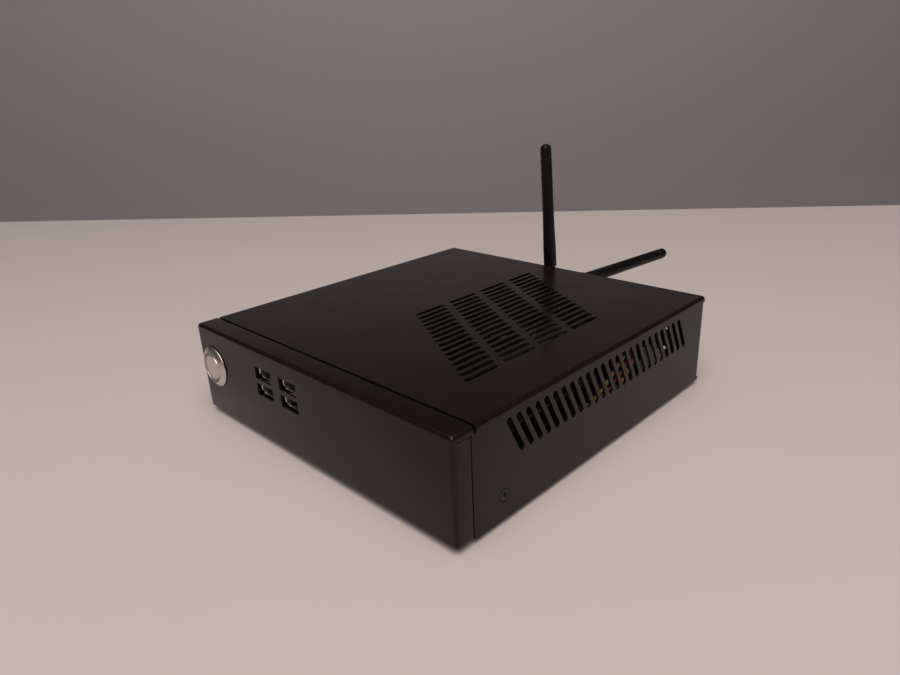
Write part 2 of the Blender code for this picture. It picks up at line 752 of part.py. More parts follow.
# -------------------------------------------------------------- power button
def make_button():
    """Head and barrel, light ring, sprung cap, contact block and nut."""
    at = (BUTTON_X, 0, BUTTON_Z)
    face = -BUTTON_PROUD
    seat_r = BUTTON_RING_R + GAP
    seat_y = 1.8
    shell = [
        (seat_r, face),
        (9.9, face),
        (BUTTON_HEAD_R, face + 1.0),
        (BUTTON_HEAD_R, -GAP),
        (BUTTON_BODY_R, -GAP),
        (BUTTON_BODY_R, BUTTON_BACK),
        (BUTTON_BORE_R, BUTTON_BACK),
        (BUTTON_BORE_R, seat_y),
        (seat_r, seat_y),
    ]
    piece("power_button_housing", turned(shell, 28, "y", closed=True), "stainless", at=at)
    ring_face = face + 0.4
    ring = [
        (BUTTON_BORE_R, ring_face),
        (BUTTON_RING_R, ring_face),
        (BUTTON_RING_R, seat_y - GAP),
        (BUTTON_BORE_R, seat_y - GAP),
    ]
    piece("power_button_light_ring", turned(ring, 28, "y", closed=True), "lens", at=at)
    cap_face, cap_back = face + 0.2, 3.0
    cap = [
        (0, cap_face),
        (BUTTON_CAP_R - 0.5, cap_face),
        (BUTTON_CAP_R, cap_face + 0.4),
        (BUTTON_CAP_R, cap_back),
        (BUTTON_STEM_R, cap_back),
        (BUTTON_STEM_R, BUTTON_STEM_END),
        (0, BUTTON_STEM_END),
    ]
    piece("power_button_cap", turned(cap, 24, "y"), "stainless", at=at)
    make_contact_block(at)
    low = FRONT_WALL_Y[1] + GAP
    high = low + BUTTON_NUT_THICK
    bore = BUTTON_BODY_R + GAP
    nut = [(bore, low), (BUTTON_NUT_R, low), (BUTTON_NUT_R, high), (bore, high)]
    piece("power_button_nut", turned(nut, 24, "y", closed=True), "raw_steel", at=at)


def make_contact_block(at):
    """Plug that closes the barrel from behind, with four contact blades."""
    plug_y = BUTTON_STEM_END + BUTTON_STROKE + GAP
    low = BUTTON_BACK + GAP
    profile = [
        (0, plug_y),
        (BUTTON_CAP_R, plug_y),
        (BUTTON_CAP_R, low),
        (CONTACT_BLOCK_R, low),
        (CONTACT_BLOCK_R, CONTACT_BLOCK_BACK),
        (0, CONTACT_BLOCK_BACK),
    ]
    contacts = piece(
        "power_button_contact_block", turned(profile, 16, "y"), "black_plastic", at=at
    )
    width, thick, reach = CONTACT_BLADE
    ends = (CONTACT_BLOCK_BACK - 1, CONTACT_BLOCK_BACK + reach)
    across, up = CONTACT_BLADE_AT
    blades = [
        centred(x, z, width, thick, *ends) for x in (-across, across) for z in (-up, up)
    ]
    join(contacts, blocks(blades))


# ------------------------------------------------------------------ sockets
def make_stack(name, mouth_at, back=False):
    """Two plug sockets, one above the other: a metal shell and its insert.

    mouth_at is the middle of the shell's mouth. The shell faces the front, or
    the back if told to.
    """
    place = {"at": mouth_at, "turn": (0, 0, 180 if back else 0), "smooth": False}
    mouths = (-STACK_PITCH / 2, STACK_PITCH / 2)
    wide, tall = SOCKET_MOUTH
    inside = STACK_HEIGHT - 2 * STACK_WALL
    outer = block(*centred(0, 0, STACK_WIDTH, STACK_HEIGHT, 0, STACK_DEPTH))
    shell = piece(f"{name}_shell", outer, "raw_steel", **place)
    hollows = [centred(0, z, wide, tall, -1, STACK_REAR + 1) for z in mouths]
    cut(shell, blocks(hollows))
    cut(shell, block(*centred(0, 0, wide, inside, STACK_REAR, STACK_DEPTH + 1)))
    core = centred(0, 0, wide - 2 * GAP, inside - 2 * GAP, STACK_REAR + GAP, STACK_DEPTH)
    insert = piece(f"{name}_insert", block(*core), "black_plastic", **place)
    tongues = [
        centred(0, z + TONGUE_RISE, *TONGUE, TONGUE_FRONT, STACK_REAR + 2) for z in mouths
    ]
    join(insert, blocks(tongues))


def make_front_sockets():
    for x, word in zip(SOCKET_X, ("left", "right")):
        make_stack(f"front_usb_{word}", (x, SOCKET_RECESS, STACK_MIDDLE_Z))
    board = piece(
        "front_usb_board", block(USB_BOARD_LOW, USB_BOARD_HIGH), "board_green", smooth=False
    )
    ends = (USB_BOARD_LOW[2] - SHEET, USB_BOARD_HIGH[2] + SHEET)
    holes = [cylinder((x, USB_POST_Y), SCREW_HOLE_R, *ends, "z", 10) for x in USB_POST_X]
    cut(board, merged(holes))


# ---------------------------------------------------------------- mainboard
def make_mainboard():
    """Board with its larger plug headers, and the processor on its carrier."""
    half = BOARD / 2
    front = BOARD_BACK - BOARD
    corners = ((-half, front, BOARD_Z[0]), (half, BOARD_BACK, BOARD_Z[1]))
    board = piece("mainboard", block(*corners), "board_green", smooth=False)
    root = BOARD_Z[1] - SHEET / 2
    headers = [((*low, root), (*high, BOARD_Z[1] + top)) for low, high, top in HEADERS]
    join(board, blocks(headers))
    ends = (BOARD_Z[0] - SHEET, BOARD_Z[1] + SHEET)
    holes = [
        cylinder((x, y), SCREW_CLEAR_R, *ends, "z", 10)
        for x in (-BOARD_HOLE_X, BOARD_HOLE_X)
        for y in BOARD_HOLE_Y
    ]
    cut(board, merged(holes))
    width, thick = PROCESSOR_CARRIER
    level = BOARD_TOP_Z + thick
    chip = piece("processor", block(*footprint(width, BOARD_TOP_Z, level)), "raw_steel", smooth=False)
    join(chip, block(*footprint(PROCESSOR_DIE, level - 1, PROCESSOR_TOP)))


def footprint(size, low, high):
    """Corners of a square block centred on the cooler."""
    x, y = COOLER
    return raised((x - size / 2, x + size / 2), (y - size / 2, y + size / 2), low, high)


def make_heatsink():
    """Finned block on the processor."""
    x, y = COOLER
    low = PROCESSOR_TOP + GAP
    base, top = low + HEATSINK_BASE, FAN_Z[0] - GAP
    left, right = x - HEATSINK_HALF, x + HEATSINK_HALF
    pitch = 2 * HEATSINK_HALF / HEATSINK_FINS
    fin = pitch * FIN_SHARE
    outline = [(left, low), (right, low), (right, base)]
    for i in reversed(range(HEATSINK_FINS)):
        edge = left + i * pitch + (pitch - fin) / 2
        outline += [(edge + fin, base), (edge + fin, top), (edge, top), (edge, base)]
    outline.append((left, base))
    sink = prism(outline, y - HEATSINK_HALF, y + HEATSINK_HALF, "y")
    piece("heatsink", sink, "aluminium", smooth=False)


def make_fan():
    """Square frame with a spider that carries the bladed rotor."""
    x, y = COOLER
    half = FAN_SIZE / 2
    low, top = FAN_Z
    frame = piece("fan_frame", block(*footprint(FAN_SIZE, *FAN_Z)), "black_plastic", smooth=False)
    through = (low - 3, top + 3)
    cut(frame, cylinder(COOLER, FAN_BORE_R, *through, "z", 32))
    spider_z = low + FAN_SPIDER
    reach = half - 1
    for dx, dy in ((reach, FAN_SPOKE_HALF), (FAN_SPOKE_HALF, reach)):
        join(frame, block((x - dx, y - dy, low), (x + dx, y + dy, spider_z)))
    join(frame, cylinder(COOLER, FAN_HUB_R + 0.5, low, spider_z, "z", 20))
    drill = [cylinder(COOLER, FAN_AXLE_R + GAP, *through, "z", 10)]
    corner = half - FAN_SCREW_IN
    for dx in (-corner, corner):
        for dy in (-corner, corner):
            drill.append(cylinder((x + dx, y + dy), FAN_SCREW_R, *through, "z", 8))
    cut(frame, merged(drill))

    hub_low, hub_top = spider_z + 0.4, top - 0.6
    profile = [
        (0, low + GAP),
        (FAN_AXLE_R, low + GAP),
        (FAN_AXLE_R, hub_low),
        (FAN_HUB_R, hub_low),
        (FAN_HUB_R, hub_top - 0.8),
        (FAN_HUB_R - 0.8, hub_top),
        (0, hub_top),
    ]
    rotor = piece("fan_rotor", turned(profile, 20), "black_plastic", at=(x, y, 0))
    for i in range(FAN_BLADES):
        join(rotor, fan_blade(2 * math.pi * i / FAN_BLADES, hub_low, hub_top))


def fan_blade(start, low, high):
    """One pitched blade, from inside the hub to just short of the bore."""
    bm = bmesh.new()
    thick, lead = 0.8, 0.10
    rings = []
    for number, radius in enumerate((FAN_HUB_R - 2, 25.0, FAN_BORE_R - 1.2)):
        spread = 0.30 - 0.02 * number
        ring = []
        for turn, z in ((-spread, low + 0.8), (spread, high - 2.2)):
            angle = start + lead * number + turn
            x, y = radius * math.cos(angle), radius * math.sin(angle)
            ring += [bm.verts.new((x, y, z)), bm.verts.new((x, y, z + thick))]
        rings.append([ring[0], ring[2], ring[3], ring[1]])
    bm.faces.new(rings[0])
    bm.faces.new(rings[-1][::-1])
    skin(bm, rings)
    bmesh.ops.triangulate(bm, faces=bm.faces)
    return bm


def make_memory():
    """Memory module lying in its low socket, with four chips on top."""
    socket = piece(
        "memory_socket",
        block(*raised(MEMORY_SOCKET_X, MEMORY_Y, BOARD_TOP_Z, MEMORY_SOCKET_TOP)),
        "black_plastic",
        smooth=False,
    )
    notch_x = (MEMORY_SOCKET_X[0] - SHEET, MEMORY_SOCKET_X[1] - 4)
    notch_y = (MEMORY_Y[0] + 3, MEMORY_Y[1] - 3)
    cut(socket, block(*raised(notch_x, notch_y, MEMORY_Z[0] - GAP, MEMORY_Z[1] + 0.4)))
    module_y = (notch_y[0] + GAP, notch_y[1] - GAP)
    module = piece(
        "memory_module",
        block(*raised(MEMORY_X, module_y, *MEMORY_Z)),
        "board_green",
        smooth=False,
    )
    length, height = MEMORY_CHIP
    root, top = MEMORY_Z[1] - 0.8, MEMORY_Z[1] + height
    join(
        module,
        blocks([raised(MEMORY_CHIP_X, (y, y + length), root, top) for y in MEMORY_CHIP_Y]),
    )


def make_wireless():
    card = piece(
        "wireless_card", block(WIRELESS_LOW, WIRELESS_HIGH), "board_green", smooth=False
    )
    join(card, block(WIRELESS_SHIELD_LOW, WIRELESS_SHIELD_HIGH))


# ------------------------------------------------------------- back sockets
def io_box(x, level, width, height, depth, proud=0.0):
    """Corners of a box that goes inward from the back sockets' faces."""
    return centred(x, level, width, height, IO_FACE_Y - depth, IO_FACE_Y + proud)


def io_tube(x, level, radius, depth, proud=0.0, steps=12):
    return cylinder((x, level), radius, IO_FACE_Y - depth, IO_FACE_Y + proud, "y", steps)


def make_io():
    """Shield in the back panel, with one opening for each socket."""
    width, height = (size - 2 * GAP for size in IO_SIZE)
    ends = (BACK_PANEL_Y[0] + 0.3, BACK_PANEL_Y[1] - 0.2)
    plate = block(*centred(0, IO_MIDDLE_Z, width, height, *ends))
    shield = piece("io_shield", plate, "raw_steel", smooth=False)
    sizes = [(x, width, height) for x, width, height, _ in IO_BLOCKS.values()]
    sizes += [(x, STACK_WIDTH, STACK_HEIGHT) for x in BACK_USB_X.values()]
    openings = [
        io_box(x, BOARD_TOP_Z + h / 2, w + 0.8, h + 0.8, 3, 1) for x, w, h in sizes
    ]
    cut(shield, blocks(openings))
    for word, x in BACK_USB_X.items():
        mouth_at = (x, IO_FACE_Y, BOARD_TOP_Z + STACK_HEIGHT / 2)
        make_stack(f"back_usb_{word}", mouth_at, back=True)
    make_lan()
    make_hdmi()
    make_dc_jack()
    make_audio()


def io_body(name, finish):
    """A back socket's body, with its middle in X and its middle level."""
    x, width, height, depth = IO_BLOCKS[name]
    level = BOARD_TOP_Z + height / 2
    body = piece(name, block(*io_box(x, level, width, height, depth)), finish, smooth=False)
    return body, x, level


def make_lan():
    body, x, _ = io_body("lan_port", "raw_steel")
    width, height, depth = LAN_MOUTH
    cut(
        body,
        block(*io_box(x, BOARD_TOP_Z + LAN_MOUTH_Z, width, height, depth, 1)),
        block(*io_box(x, BOARD_TOP_Z + LAN_LATCH_Z, *LAN_LATCH, depth, 1)),
    )


def make_hdmi():
    body, x, level = io_body("hdmi_port", "raw_steel")
    width, height, depth = HDMI_MOUTH
    cut(body, block(*io_box(x, level, width, height, depth, 1)))
    join(body, block(*io_box(x, level + 0.4, *HDMI_TONGUE, depth + 1, -1)))


def make_dc_jack():
    body, x, level = io_body("dc_jack", "black_plastic")
    cut(body, io_tube(x, level, DC_MOUTH_R, DC_DEPTH, 1, 20))
    join(body, io_tube(x, level, DC_PIN_R, DC_DEPTH + 1, -1, 10))


def make_audio():
    body, x, level = io_body("audio_jacks", "black_plastic")
    spots = (x - AUDIO_OFFSET, x + AUDIO_OFFSET)
    for spot in spots:
        join(body, io_tube(spot, level, AUDIO_COLLAR_R, 2, 0.8, 14))
    cut(body, merged([io_tube(spot, level, AUDIO_MOUTH_R, AUDIO_DEPTH, 2) for spot in spots]))


# ----------------------------------------------------------------- antennas
def make_jack(word, x):
    """Panel jack, its nut, and the antenna's screwed coupling over it."""
    at = (x, 0, ANTENNA_Z)
    inner, outer = BACK_PANEL_Y[0] - GAP, BACK_PANEL_Y[1] + GAP
    end = COUPLING_Y[1] - 0.5
    profile = [
        (0, inner - 6),
        (2.0, inner - 6),
        (2.0, inner - 3.5),
        (JACK_FLANGE_R, inner - 3.5),
        (JACK_FLANGE_R, inner),
        (JACK_R, inner),
        (JACK_R, end),
        (0, end),
    ]
    jack = piece(f"antenna_jack_{word}", turned(profile, 12, "y"), "brass", at=at)
    cut(jack, cylinder((0, 0), 1.4, end - 4, end + 2, "y", 10))
    bore = JACK_R + GAP
    ends = (outer, outer + 2)
    nut = [(bore, ends[0]), (JACK_FLANGE_R, ends[0]), (JACK_FLANGE_R, ends[1]), (bore, ends[1])]
    piece(f"antenna_jack_nut_{word}", turned(nut, 12, "y", closed=True), "brass", at=at)
    low, high = COUPLING_Y
    coupling = [
        (bore, low),
        (COUPLING_R - 0.4, low),
        (COUPLING_R, low + 0.5),
        (COUPLING_R, high - 0.5),
        (COUPLING_R - 0.4, high),
        (bore, high),
    ]
    piece(f"antenna_coupling_{word}", turned(coupling, 16, "y", closed=True), "brass", at=at)


def make_knuckle(word, frame):
    """Disc with two ears, and the pin that they hold."""
    near, floor = (y - ANTENNA_HINGE_Y for y in KNUCKLE_Y)
    profile = [
        (0, near),
        (KNUCKLE_R - 0.4, near),
        (KNUCKLE_R, near + 0.4),
        (KNUCKLE_R, floor),
        (0, floor),
    ]
    knuckle = piece(f"antenna_knuckle_{word}", turned(profile, 18, "y"), "black_plastic", frame)
    root, narrow = floor - 0.8, EAR_R - 1.2
    outline = [(root, narrow)] + half_round(EAR_R, -90)[::-1] + [(root, -narrow)]
    ears = [prism(outline, *sorted((side * EAR_X[0], side * EAR_X[1])), "x") for side in (-1, 1)]
    join(knuckle, merged(ears))
    cut(knuckle, cylinder((0, 0), PIN_R + GAP, -EAR_X[1] - 3, EAR_X[1] + 3, "x", 12))
    pin_half = EAR_X[1] - 0.2
    pin = cylinder((0, 0), PIN_R, -pin_half, pin_half, "x", 12)
    piece(f"antenna_pin_{word}", pin, "raw_steel", frame)


def make_whip(word, frame):
    """Tapering rod with a round tip, and the tab that hangs on the pin."""
    start = EAR_R + 1.0
    heights = (start, start + 0.6, start + 22, start + 34, ANTENNA_REACH - 10)
    profile = [(0, start)] + list(zip(WHIP_R, heights))
    profile.insert(3, (WHIP_R[1], start + 12))
    tip_steps = 4
    tip = ANTENNA_REACH - WHIP_TIP_R
    for i in range(tip_steps):
        a = math.pi / 2 * i / tip_steps
        profile.append((WHIP_TIP_R * math.cos(a), tip + WHIP_TIP_R * math.sin(a)))
    profile.append((0, ANTENNA_REACH))
    whip = piece(f"antenna_whip_{word}", turned(profile, 18), "black_plastic", frame)
    root, narrow = start + 2, EAR_R - 1
    outline = half_round(EAR_R, 180) + [(narrow, root), (-narrow, root)]
    join(whip, prism(outline, -TAB_HALF, TAB_HALF, "x"))
    cut(whip, cylinder((0, 0), PIN_R + GAP, -TAB_HALF - 3, TAB_HALF + 3, "x", 12))


def make_antenna(word, x, swivel, fold):
    """Jack on the back panel, knuckle that swivels on it, and folding whip."""
    make_jack(word, x)
    hinge_at = (x, ANTENNA_HINGE_Y, ANTENNA_Z)
    swivel_frame = add(f"antenna_{word}_swivel", None, CASE, hinge_at, (0, swivel, 0))
    make_knuckle(word, swivel_frame)
    fold_frame = add(f"antenna_{word}_fold", None, swivel_frame, turn=(-fold, 0, 0))
    make_whip(word, fold_frame)


# --------------------------------------------------------- drive and leads
def make_drive():
    """Flat drive on a sheet bracket that stands beside the mainboard."""
    shelf = (DRIVE_LOW[2] - GAP - SHEET, DRIVE_LOW[2] - GAP)
    floor = PLATE_Z[1] + GAP
    shelf_low = (BRACKET_X, BRACKET_Y, shelf[0])
    shelf_high = (DRIVE_HIGH[0], DRIVE_HIGH[1], shelf[1])
    bracket = piece("drive_bracket", block(shelf_low, shelf_high), "raw_steel", smooth=False)
    beyond = (BRACKET_X - 5, DRIVE_HIGH[0] + 5)
    in_front = (BRACKET_Y - 5, DRIVE_LOW[1])
    levels = (shelf[0] - 5, shelf[1] + 5)
    for ends in ((beyond[0], BRACKET_ARM_X[0]), (BRACKET_ARM_X[1], beyond[1])):
        cut(bracket, block(*raised(ends, in_front, *levels)))
    root = shelf[1] - 0.2
    join(
        bracket,
        block(*raised((BRACKET_X, BRACKET_X + SHEET), BRACKET_LEG_Y, floor, root)),
        block(*raised((BRACKET_X, BRACKET_X + BRACKET_TOE), BRACKET_LEG_Y, floor, floor + SHEET)),
        block(*raised(BRACKET_LEG_X, (BRACKET_Y, BRACKET_Y + SHEET), floor, root)),
        block(
            *raised(
                BRACKET_LEG_X, (BRACKET_Y - BRACKET_TOE, BRACKET_Y + SHEET), floor, floor + SHEET
            )
        ),
    )
    drive = piece("solid_state_drive", block(DRIVE_LOW, DRIVE_HIGH), "zinc_black", smooth=False)
    cut(drive, block(*DRIVE_SOCKET))


def make_harness():
    """Wires side by side as one flat band, along the right side and to the drive."""
    rows = [(place, (half, 0, 0), wide) for place, half, wide in HARNESS]
    path = smooth_path(rows, 7.0)
    thick, chamfer = HARNESS_THICK / 2, 0.9
    bm = bmesh.new()
    rings = []
    for i, (place, half, wide) in enumerate(path):
        ahead, behind = path[min(i + 1, len(path) - 1)][0], path[max(i - 1, 0)][0]
        along = (ahead - behind).normalized()
        wide = (wide - along * wide.dot(along)).normalized()
        flat = along.cross(wide)
        half = half.x
        corners = [(half, thick - chamfer), (half - chamfer, thick)]
        corners += [(-a, b) for a, b in corners[::-1]]
        corners += [(-a, -b) for a, b in corners]
        rings.append([bm.verts.new(place + wide * a + flat * b) for a, b in corners])
    bm.faces.new(rings[0])
    bm.faces.new(rings[-1][::-1])
    skin(bm, rings)
    piece("drive_power_harness", bm, "harness")


def make_leads():
    """Round cables inside the case, each whole from one end to the other."""
    for name, (radius, route) in LEADS.items():
        path = smooth_path([(place,) for place in route], LEAD_SPACING)
        curve = bpy.data.curves.new(name, "CURVE")
        curve.dimensions = "3D"
        spline = curve.splines.new("POLY")
        spline.points.add(len(path) - 1)
        for point, (place,) in zip(spline.points, path):
            point.co = (*(place * MM), 1)
        curve.bevel_depth = radius * MM
        curve.bevel_resolution = 2
        curve.use_fill_caps = True
        curve.materials.append(material("black_plastic"))
        add(name, curve, CASE)


def clear_scene():
    for thing in list(bpy.data.objects):
        bpy.data.objects.remove(thing)


clear_scene()
CASE_Y = (BUTTON_PROUD - REACH_BACK) / 2
CASE = add("case", None, None, (0, CASE_Y, FOOT_HEIGHT))
make_chassis()
make_bezel()
make_cover()
make_screws()
make_feet()
make_button()
make_front_sockets()
make_mainboard()
make_heatsink()
make_fan()
make_memory()
make_wireless()
make_io()
for side_word, pose in ANTENNAS.items():
    make_antenna(side_word, **pose)
make_drive()
make_harness()
make_leads()
bpy.context.view_layer.update()
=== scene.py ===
"""Looks of the small desktop computer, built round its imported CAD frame.

Meshes are made in case millimetres: X runs from the case's middle to its
right, Y from its front face to its back, and Z up from the shell's lower edge.
The CAD nodes' boxes and the record's joints say where everything is.
"""

import json
import math
import random

import bmesh
import bpy
from mathutils import Matrix, Vector


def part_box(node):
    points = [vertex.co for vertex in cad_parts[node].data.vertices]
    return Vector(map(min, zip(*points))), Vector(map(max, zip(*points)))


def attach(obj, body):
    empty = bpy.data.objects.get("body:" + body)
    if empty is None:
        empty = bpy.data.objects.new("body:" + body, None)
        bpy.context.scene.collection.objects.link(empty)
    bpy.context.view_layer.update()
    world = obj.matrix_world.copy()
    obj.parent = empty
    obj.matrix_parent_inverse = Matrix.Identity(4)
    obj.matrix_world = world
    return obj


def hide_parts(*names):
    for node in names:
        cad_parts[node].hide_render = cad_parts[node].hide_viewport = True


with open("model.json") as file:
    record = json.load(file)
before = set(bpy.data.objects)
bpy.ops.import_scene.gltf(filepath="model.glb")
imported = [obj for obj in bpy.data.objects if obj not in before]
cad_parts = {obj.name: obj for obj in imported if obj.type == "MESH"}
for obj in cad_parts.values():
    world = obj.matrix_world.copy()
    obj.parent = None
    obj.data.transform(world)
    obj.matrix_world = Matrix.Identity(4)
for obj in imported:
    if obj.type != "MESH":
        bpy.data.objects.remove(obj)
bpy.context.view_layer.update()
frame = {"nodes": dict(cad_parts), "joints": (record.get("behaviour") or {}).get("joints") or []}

MM = 0.001
SHELL_LOW, SHELL_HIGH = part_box("front_bezel")
CASE_AT = Vector(((SHELL_LOW.x + SHELL_HIGH.x) / 2, SHELL_LOW.y, SHELL_LOW.z))


def span(node):
    """A CAD node's lowest and highest corners, in case millimetres."""
    return [(corner - CASE_AT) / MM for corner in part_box(node)]


def middle(node):
    low, high = span(node)
    return (low + high) / 2


def half_width(node):
    """Half of a CAD node's width."""
    low, high = span(node)
    return (high.x - low.x) / 2


# Sheet metal
SHEET = 1.2
BEND = 2.0
GAP = 0.3
SEAM = 1.0
HALF_WIDTH = span("front_bezel")[1].x
HEIGHT = span("front_bezel")[1].z
DEPTH = span("top_cover")[1].y
TOP_FRONT = span("front_bezel")[1].y + SEAM
SIDE_FRONT = span("top_cover")[0].y
TRAY = HEIGHT - BEND - SHEET


# ------------------------------------------------------------------ outlines
def circle(x, y, radius, steps=24, start=0.0):
    angles = [start + 2 * math.pi * i / steps for i in range(steps)]
    return [(x + radius * math.cos(a), y + radius * math.sin(a)) for a in angles]


def slot(x, y, width, length, lean=0.0, steps=7):
    """A round-ended slot, upright or leaning by an angle."""
    radius = width / 2
    reach = length / 2 - radius
    c, s = math.cos(lean), math.sin(lean)
    points = []
    for end in (1, -1):
        for i in range(steps + 1):
            a = math.pi * (i / steps + (end == -1))
            across, along = radius * math.cos(a), radius * math.sin(a) + end * reach
            points.append((x + across * c - along * s, y + across * s + along * c))
    return points


def filleted(corners, radius, steps=5):
    """An outline whose corners are rounded, all alike or each by its own radius."""
    radii = radius if hasattr(radius, "__len__") else [radius] * len(corners)
    points = []
    for i, (corner, r) in enumerate(zip(corners, radii)):
        here = Vector(corner)
        before = (Vector(corners[i - 1]) - here).normalized()
        after = (Vector(corners[(i + 1) % len(corners)]) - here).normalized()
        if r == 0:
            points.append(tuple(here))
            continue
        half = before.angle(after) / 2
        reach = r / math.tan(half)
        centre = here + (before + after).normalized() * (r / math.sin(half))
        start = here + before * reach - centre
        turn = math.pi - 2 * half
        if before.cross(after) > 0:
            turn = -turn
        for k in range(steps + 1):
            points.append(tuple(centre + Matrix.Rotation(turn * k / steps, 2) @ start))
    return points


def rounded(x_low, y_low, x_high, y_high, radius, steps=5):
    corners = [(x_low, y_low), (x_high, y_low), (x_high, y_high), (x_low, y_high)]
    return filleted(corners, radius, steps)


def centred(x, y, width, height, radius, steps=5):
    return rounded(x - width / 2, y - height / 2, x + width / 2, y + height / 2, radius, steps)


# -------------------------------------------------------------------- solids
def laid(bm, axis, level):
    """Turns a flat shape so that its thickness lies along axis, at a level."""
    spots = {
        "x": lambda p: (p.z + level, p.x, p.y),
        "y": lambda p: (p.x, p.z + level, p.y),
        "z": lambda p: (p.x, p.y, p.z + level),
    }[axis]
    for vert in bm.verts:
        vert.co = spots(vert.co.copy())
    return bm


def plate(outline, holes, low, high, axis="z", edge=0.12, steps=1):
    """A flat sheet with holes, and slightly rounded edges all round."""
    curve = bpy.data.curves.new("plate", "CURVE")
    curve.dimensions = "2D"
    curve.fill_mode = "BOTH"
    curve.extrude = (high - low) / 2 - edge
    curve.bevel_depth = edge
    curve.bevel_resolution = steps
    curve.offset = -edge
    for loop in (outline, *holes):
        spline = curve.splines.new("POLY")
        spline.points.add(len(loop) - 1)
        for point, (a, b) in zip(spline.points, loop):
            point.co = (a, b, 0, 1)
        spline.use_cyclic_u = True
    holder = bpy.data.objects.new("plate", curve)
    mesh = bpy.data.meshes.new_from_object(holder)
    bm = bmesh.new()
    bm.from_mesh(mesh)
    bmesh.ops.remove_doubles(bm, verts=bm.verts, dist=1e-4)
    bpy.data.objects.remove(holder)
    bpy.data.curves.remove(curve)
    bpy.data.meshes.remove(mesh)
    return laid(bm, axis, (low + high) / 2)


def block(low, high):
    low, high = Vector(low), Vector(high)
    bm = bmesh.new()
    place = Matrix.Translation((low + high) / 2) @ Matrix.Diagonal((*(high - low), 1))
    bmesh.ops.create_cube(bm, size=1, matrix=place)
    return bm


def slab(x, y, z, width, depth, height):
    """A block standing on z, centred on x and y."""
    return block((x - width / 2, y - depth / 2, z), (x + width / 2, y + depth / 2, z + height))


def skin(rings, strips=False):
    """A closed mesh over rings of points, each end under one face or a strip of them."""
    bm = bmesh.new()
    rows = [[bm.verts.new(point) for point in ring] for ring in rings]
    for one, two in zip(rows, rows[1:]):
        for i in range(len(one)):
            j = (i + 1) % len(one)
            bm.faces.new((one[i], one[j], two[j], two[i]))
    for row in (rows[0][::-1], rows[-1]):
        if not strips:
            bm.faces.new(row)
            continue
        for i in range(len(row) // 2 - 1):
            bm.faces.new((row[i], row[i + 1], row[-i - 2], row[-i - 1]))
    return bm


def prism(outline, low, high, axis="z"):
    return laid(skin([[(a, b, c) for a, b in outline] for c in (high, low)]), axis, 0)


def turned(profile, steps=32, axis="y", ring=False, ripple=None):
    """A profile of (radius, height) points turned round an axis.

    An open profile starts and ends on the axis, and a ring's is closed.
    ripple(angle, radius) may change the radius round the turn.
    """
    spots = {
        "x": lambda r, h, a: (h, r * math.cos(a), r * math.sin(a)),
        "y": lambda r, h, a: (r * math.sin(a), h, r * math.cos(a)),
        "z": lambda r, h, a: (r * math.cos(a), r * math.sin(a), h),
    }[axis]
    bm = bmesh.new()
    rings = []
    for radius, height in profile:
        if radius == 0:
            rings.append([bm.verts.new(spots(0, height, 0))] * steps)
            continue
        row = []
        for i in range(steps):
            a = 2 * math.pi * i / steps
            r = ripple(a, radius) if ripple else radius
            row.append(bm.verts.new(spots(r, height, a)))
        rings.append(row)
    pairs = list(zip(rings, rings[1:]))
    if ring:
        pairs.append((rings[-1], rings[0]))
    for one, two in pairs:
        for i in range(steps):
            j = (i + 1) % steps
            corners = list(dict.fromkeys((one[i], one[j], two[j], two[i])))
            if len(corners) > 2:
                bm.faces.new(corners)
    return bm


def rod(x, y, radius, low, high, axis="z", steps=20):
    """A cylinder along an axis, beside it by x and y."""
    bm = turned([(0, low), (radius, low), (radius, high), (0, high)], steps, axis)
    return moved(bm, *{"x": (0, x, y), "y": (x, 0, y), "z": (x, y, 0)}[axis])


def smooth_path(points, per=6):
    """Points on the smooth curve through a route's own points."""
    spots = [Vector(p) for p in points]
    ends = [2 * spots[0] - spots[1]] + spots + [2 * spots[-1] - spots[-2]]
    path = []
    for a, b, c, d in zip(ends, ends[1:], ends[2:], ends[3:]):
        for k in range(per):
            t = k / per
            bend = (2 * a - 5 * b + 4 * c - d) * t * t + (3 * b - a - 3 * c + d) * t**3
            path.append(0.5 * (2 * b + (c - a) * t + bend))
    path.append(spots[-1])
    return path


def heading(path, i):
    """The direction of a path at one of its points."""
    return (path[min(i + 1, len(path) - 1)] - path[max(i - 1, 0)]).normalized()


def frames(path):
    """For each point of a path: its spot, its level side and its other side."""
    made = []
    for i, spot in enumerate(path):
        along = heading(path, i)
        level = along.cross(Vector((0, 0, 1)))
        if level.length < 0.05:
            level = made[-1][1] if made else Vector((1, 0, 0))
        level.normalize()
        made.append((spot, level, level.cross(along).normalized()))
    return made


def swept(places, section):
    """A closed section of (level, up) points carried along a path's places."""
    return skin([[spot + level * x + up * y for x, y in section] for spot, level, up in places])


def ribbon_prism(points, width, low, high, axis):
    """A thin band along a run of points, pushed along an axis."""
    spots = [Vector(p) for p in points]
    sides = [[], []]
    for i, spot in enumerate(spots):
        along = heading(spots, i)
        off = Vector((-along.y, along.x)) * width / 2
        sides[0].append(tuple(spot + off))
        sides[1].append(tuple(spot - off))
    return prism(sides[0] + sides[1][::-1], low, high, axis)


def joined(*shapes):
    """Several closed shapes in one mesh."""
    bm = bmesh.new()
    for shape in shapes:
        mesh = bpy.data.meshes.new("part")
        shape.to_mesh(mesh)
        shape.free()
        bm.from_mesh(mesh)
        bpy.data.meshes.remove(mesh)
    return bm


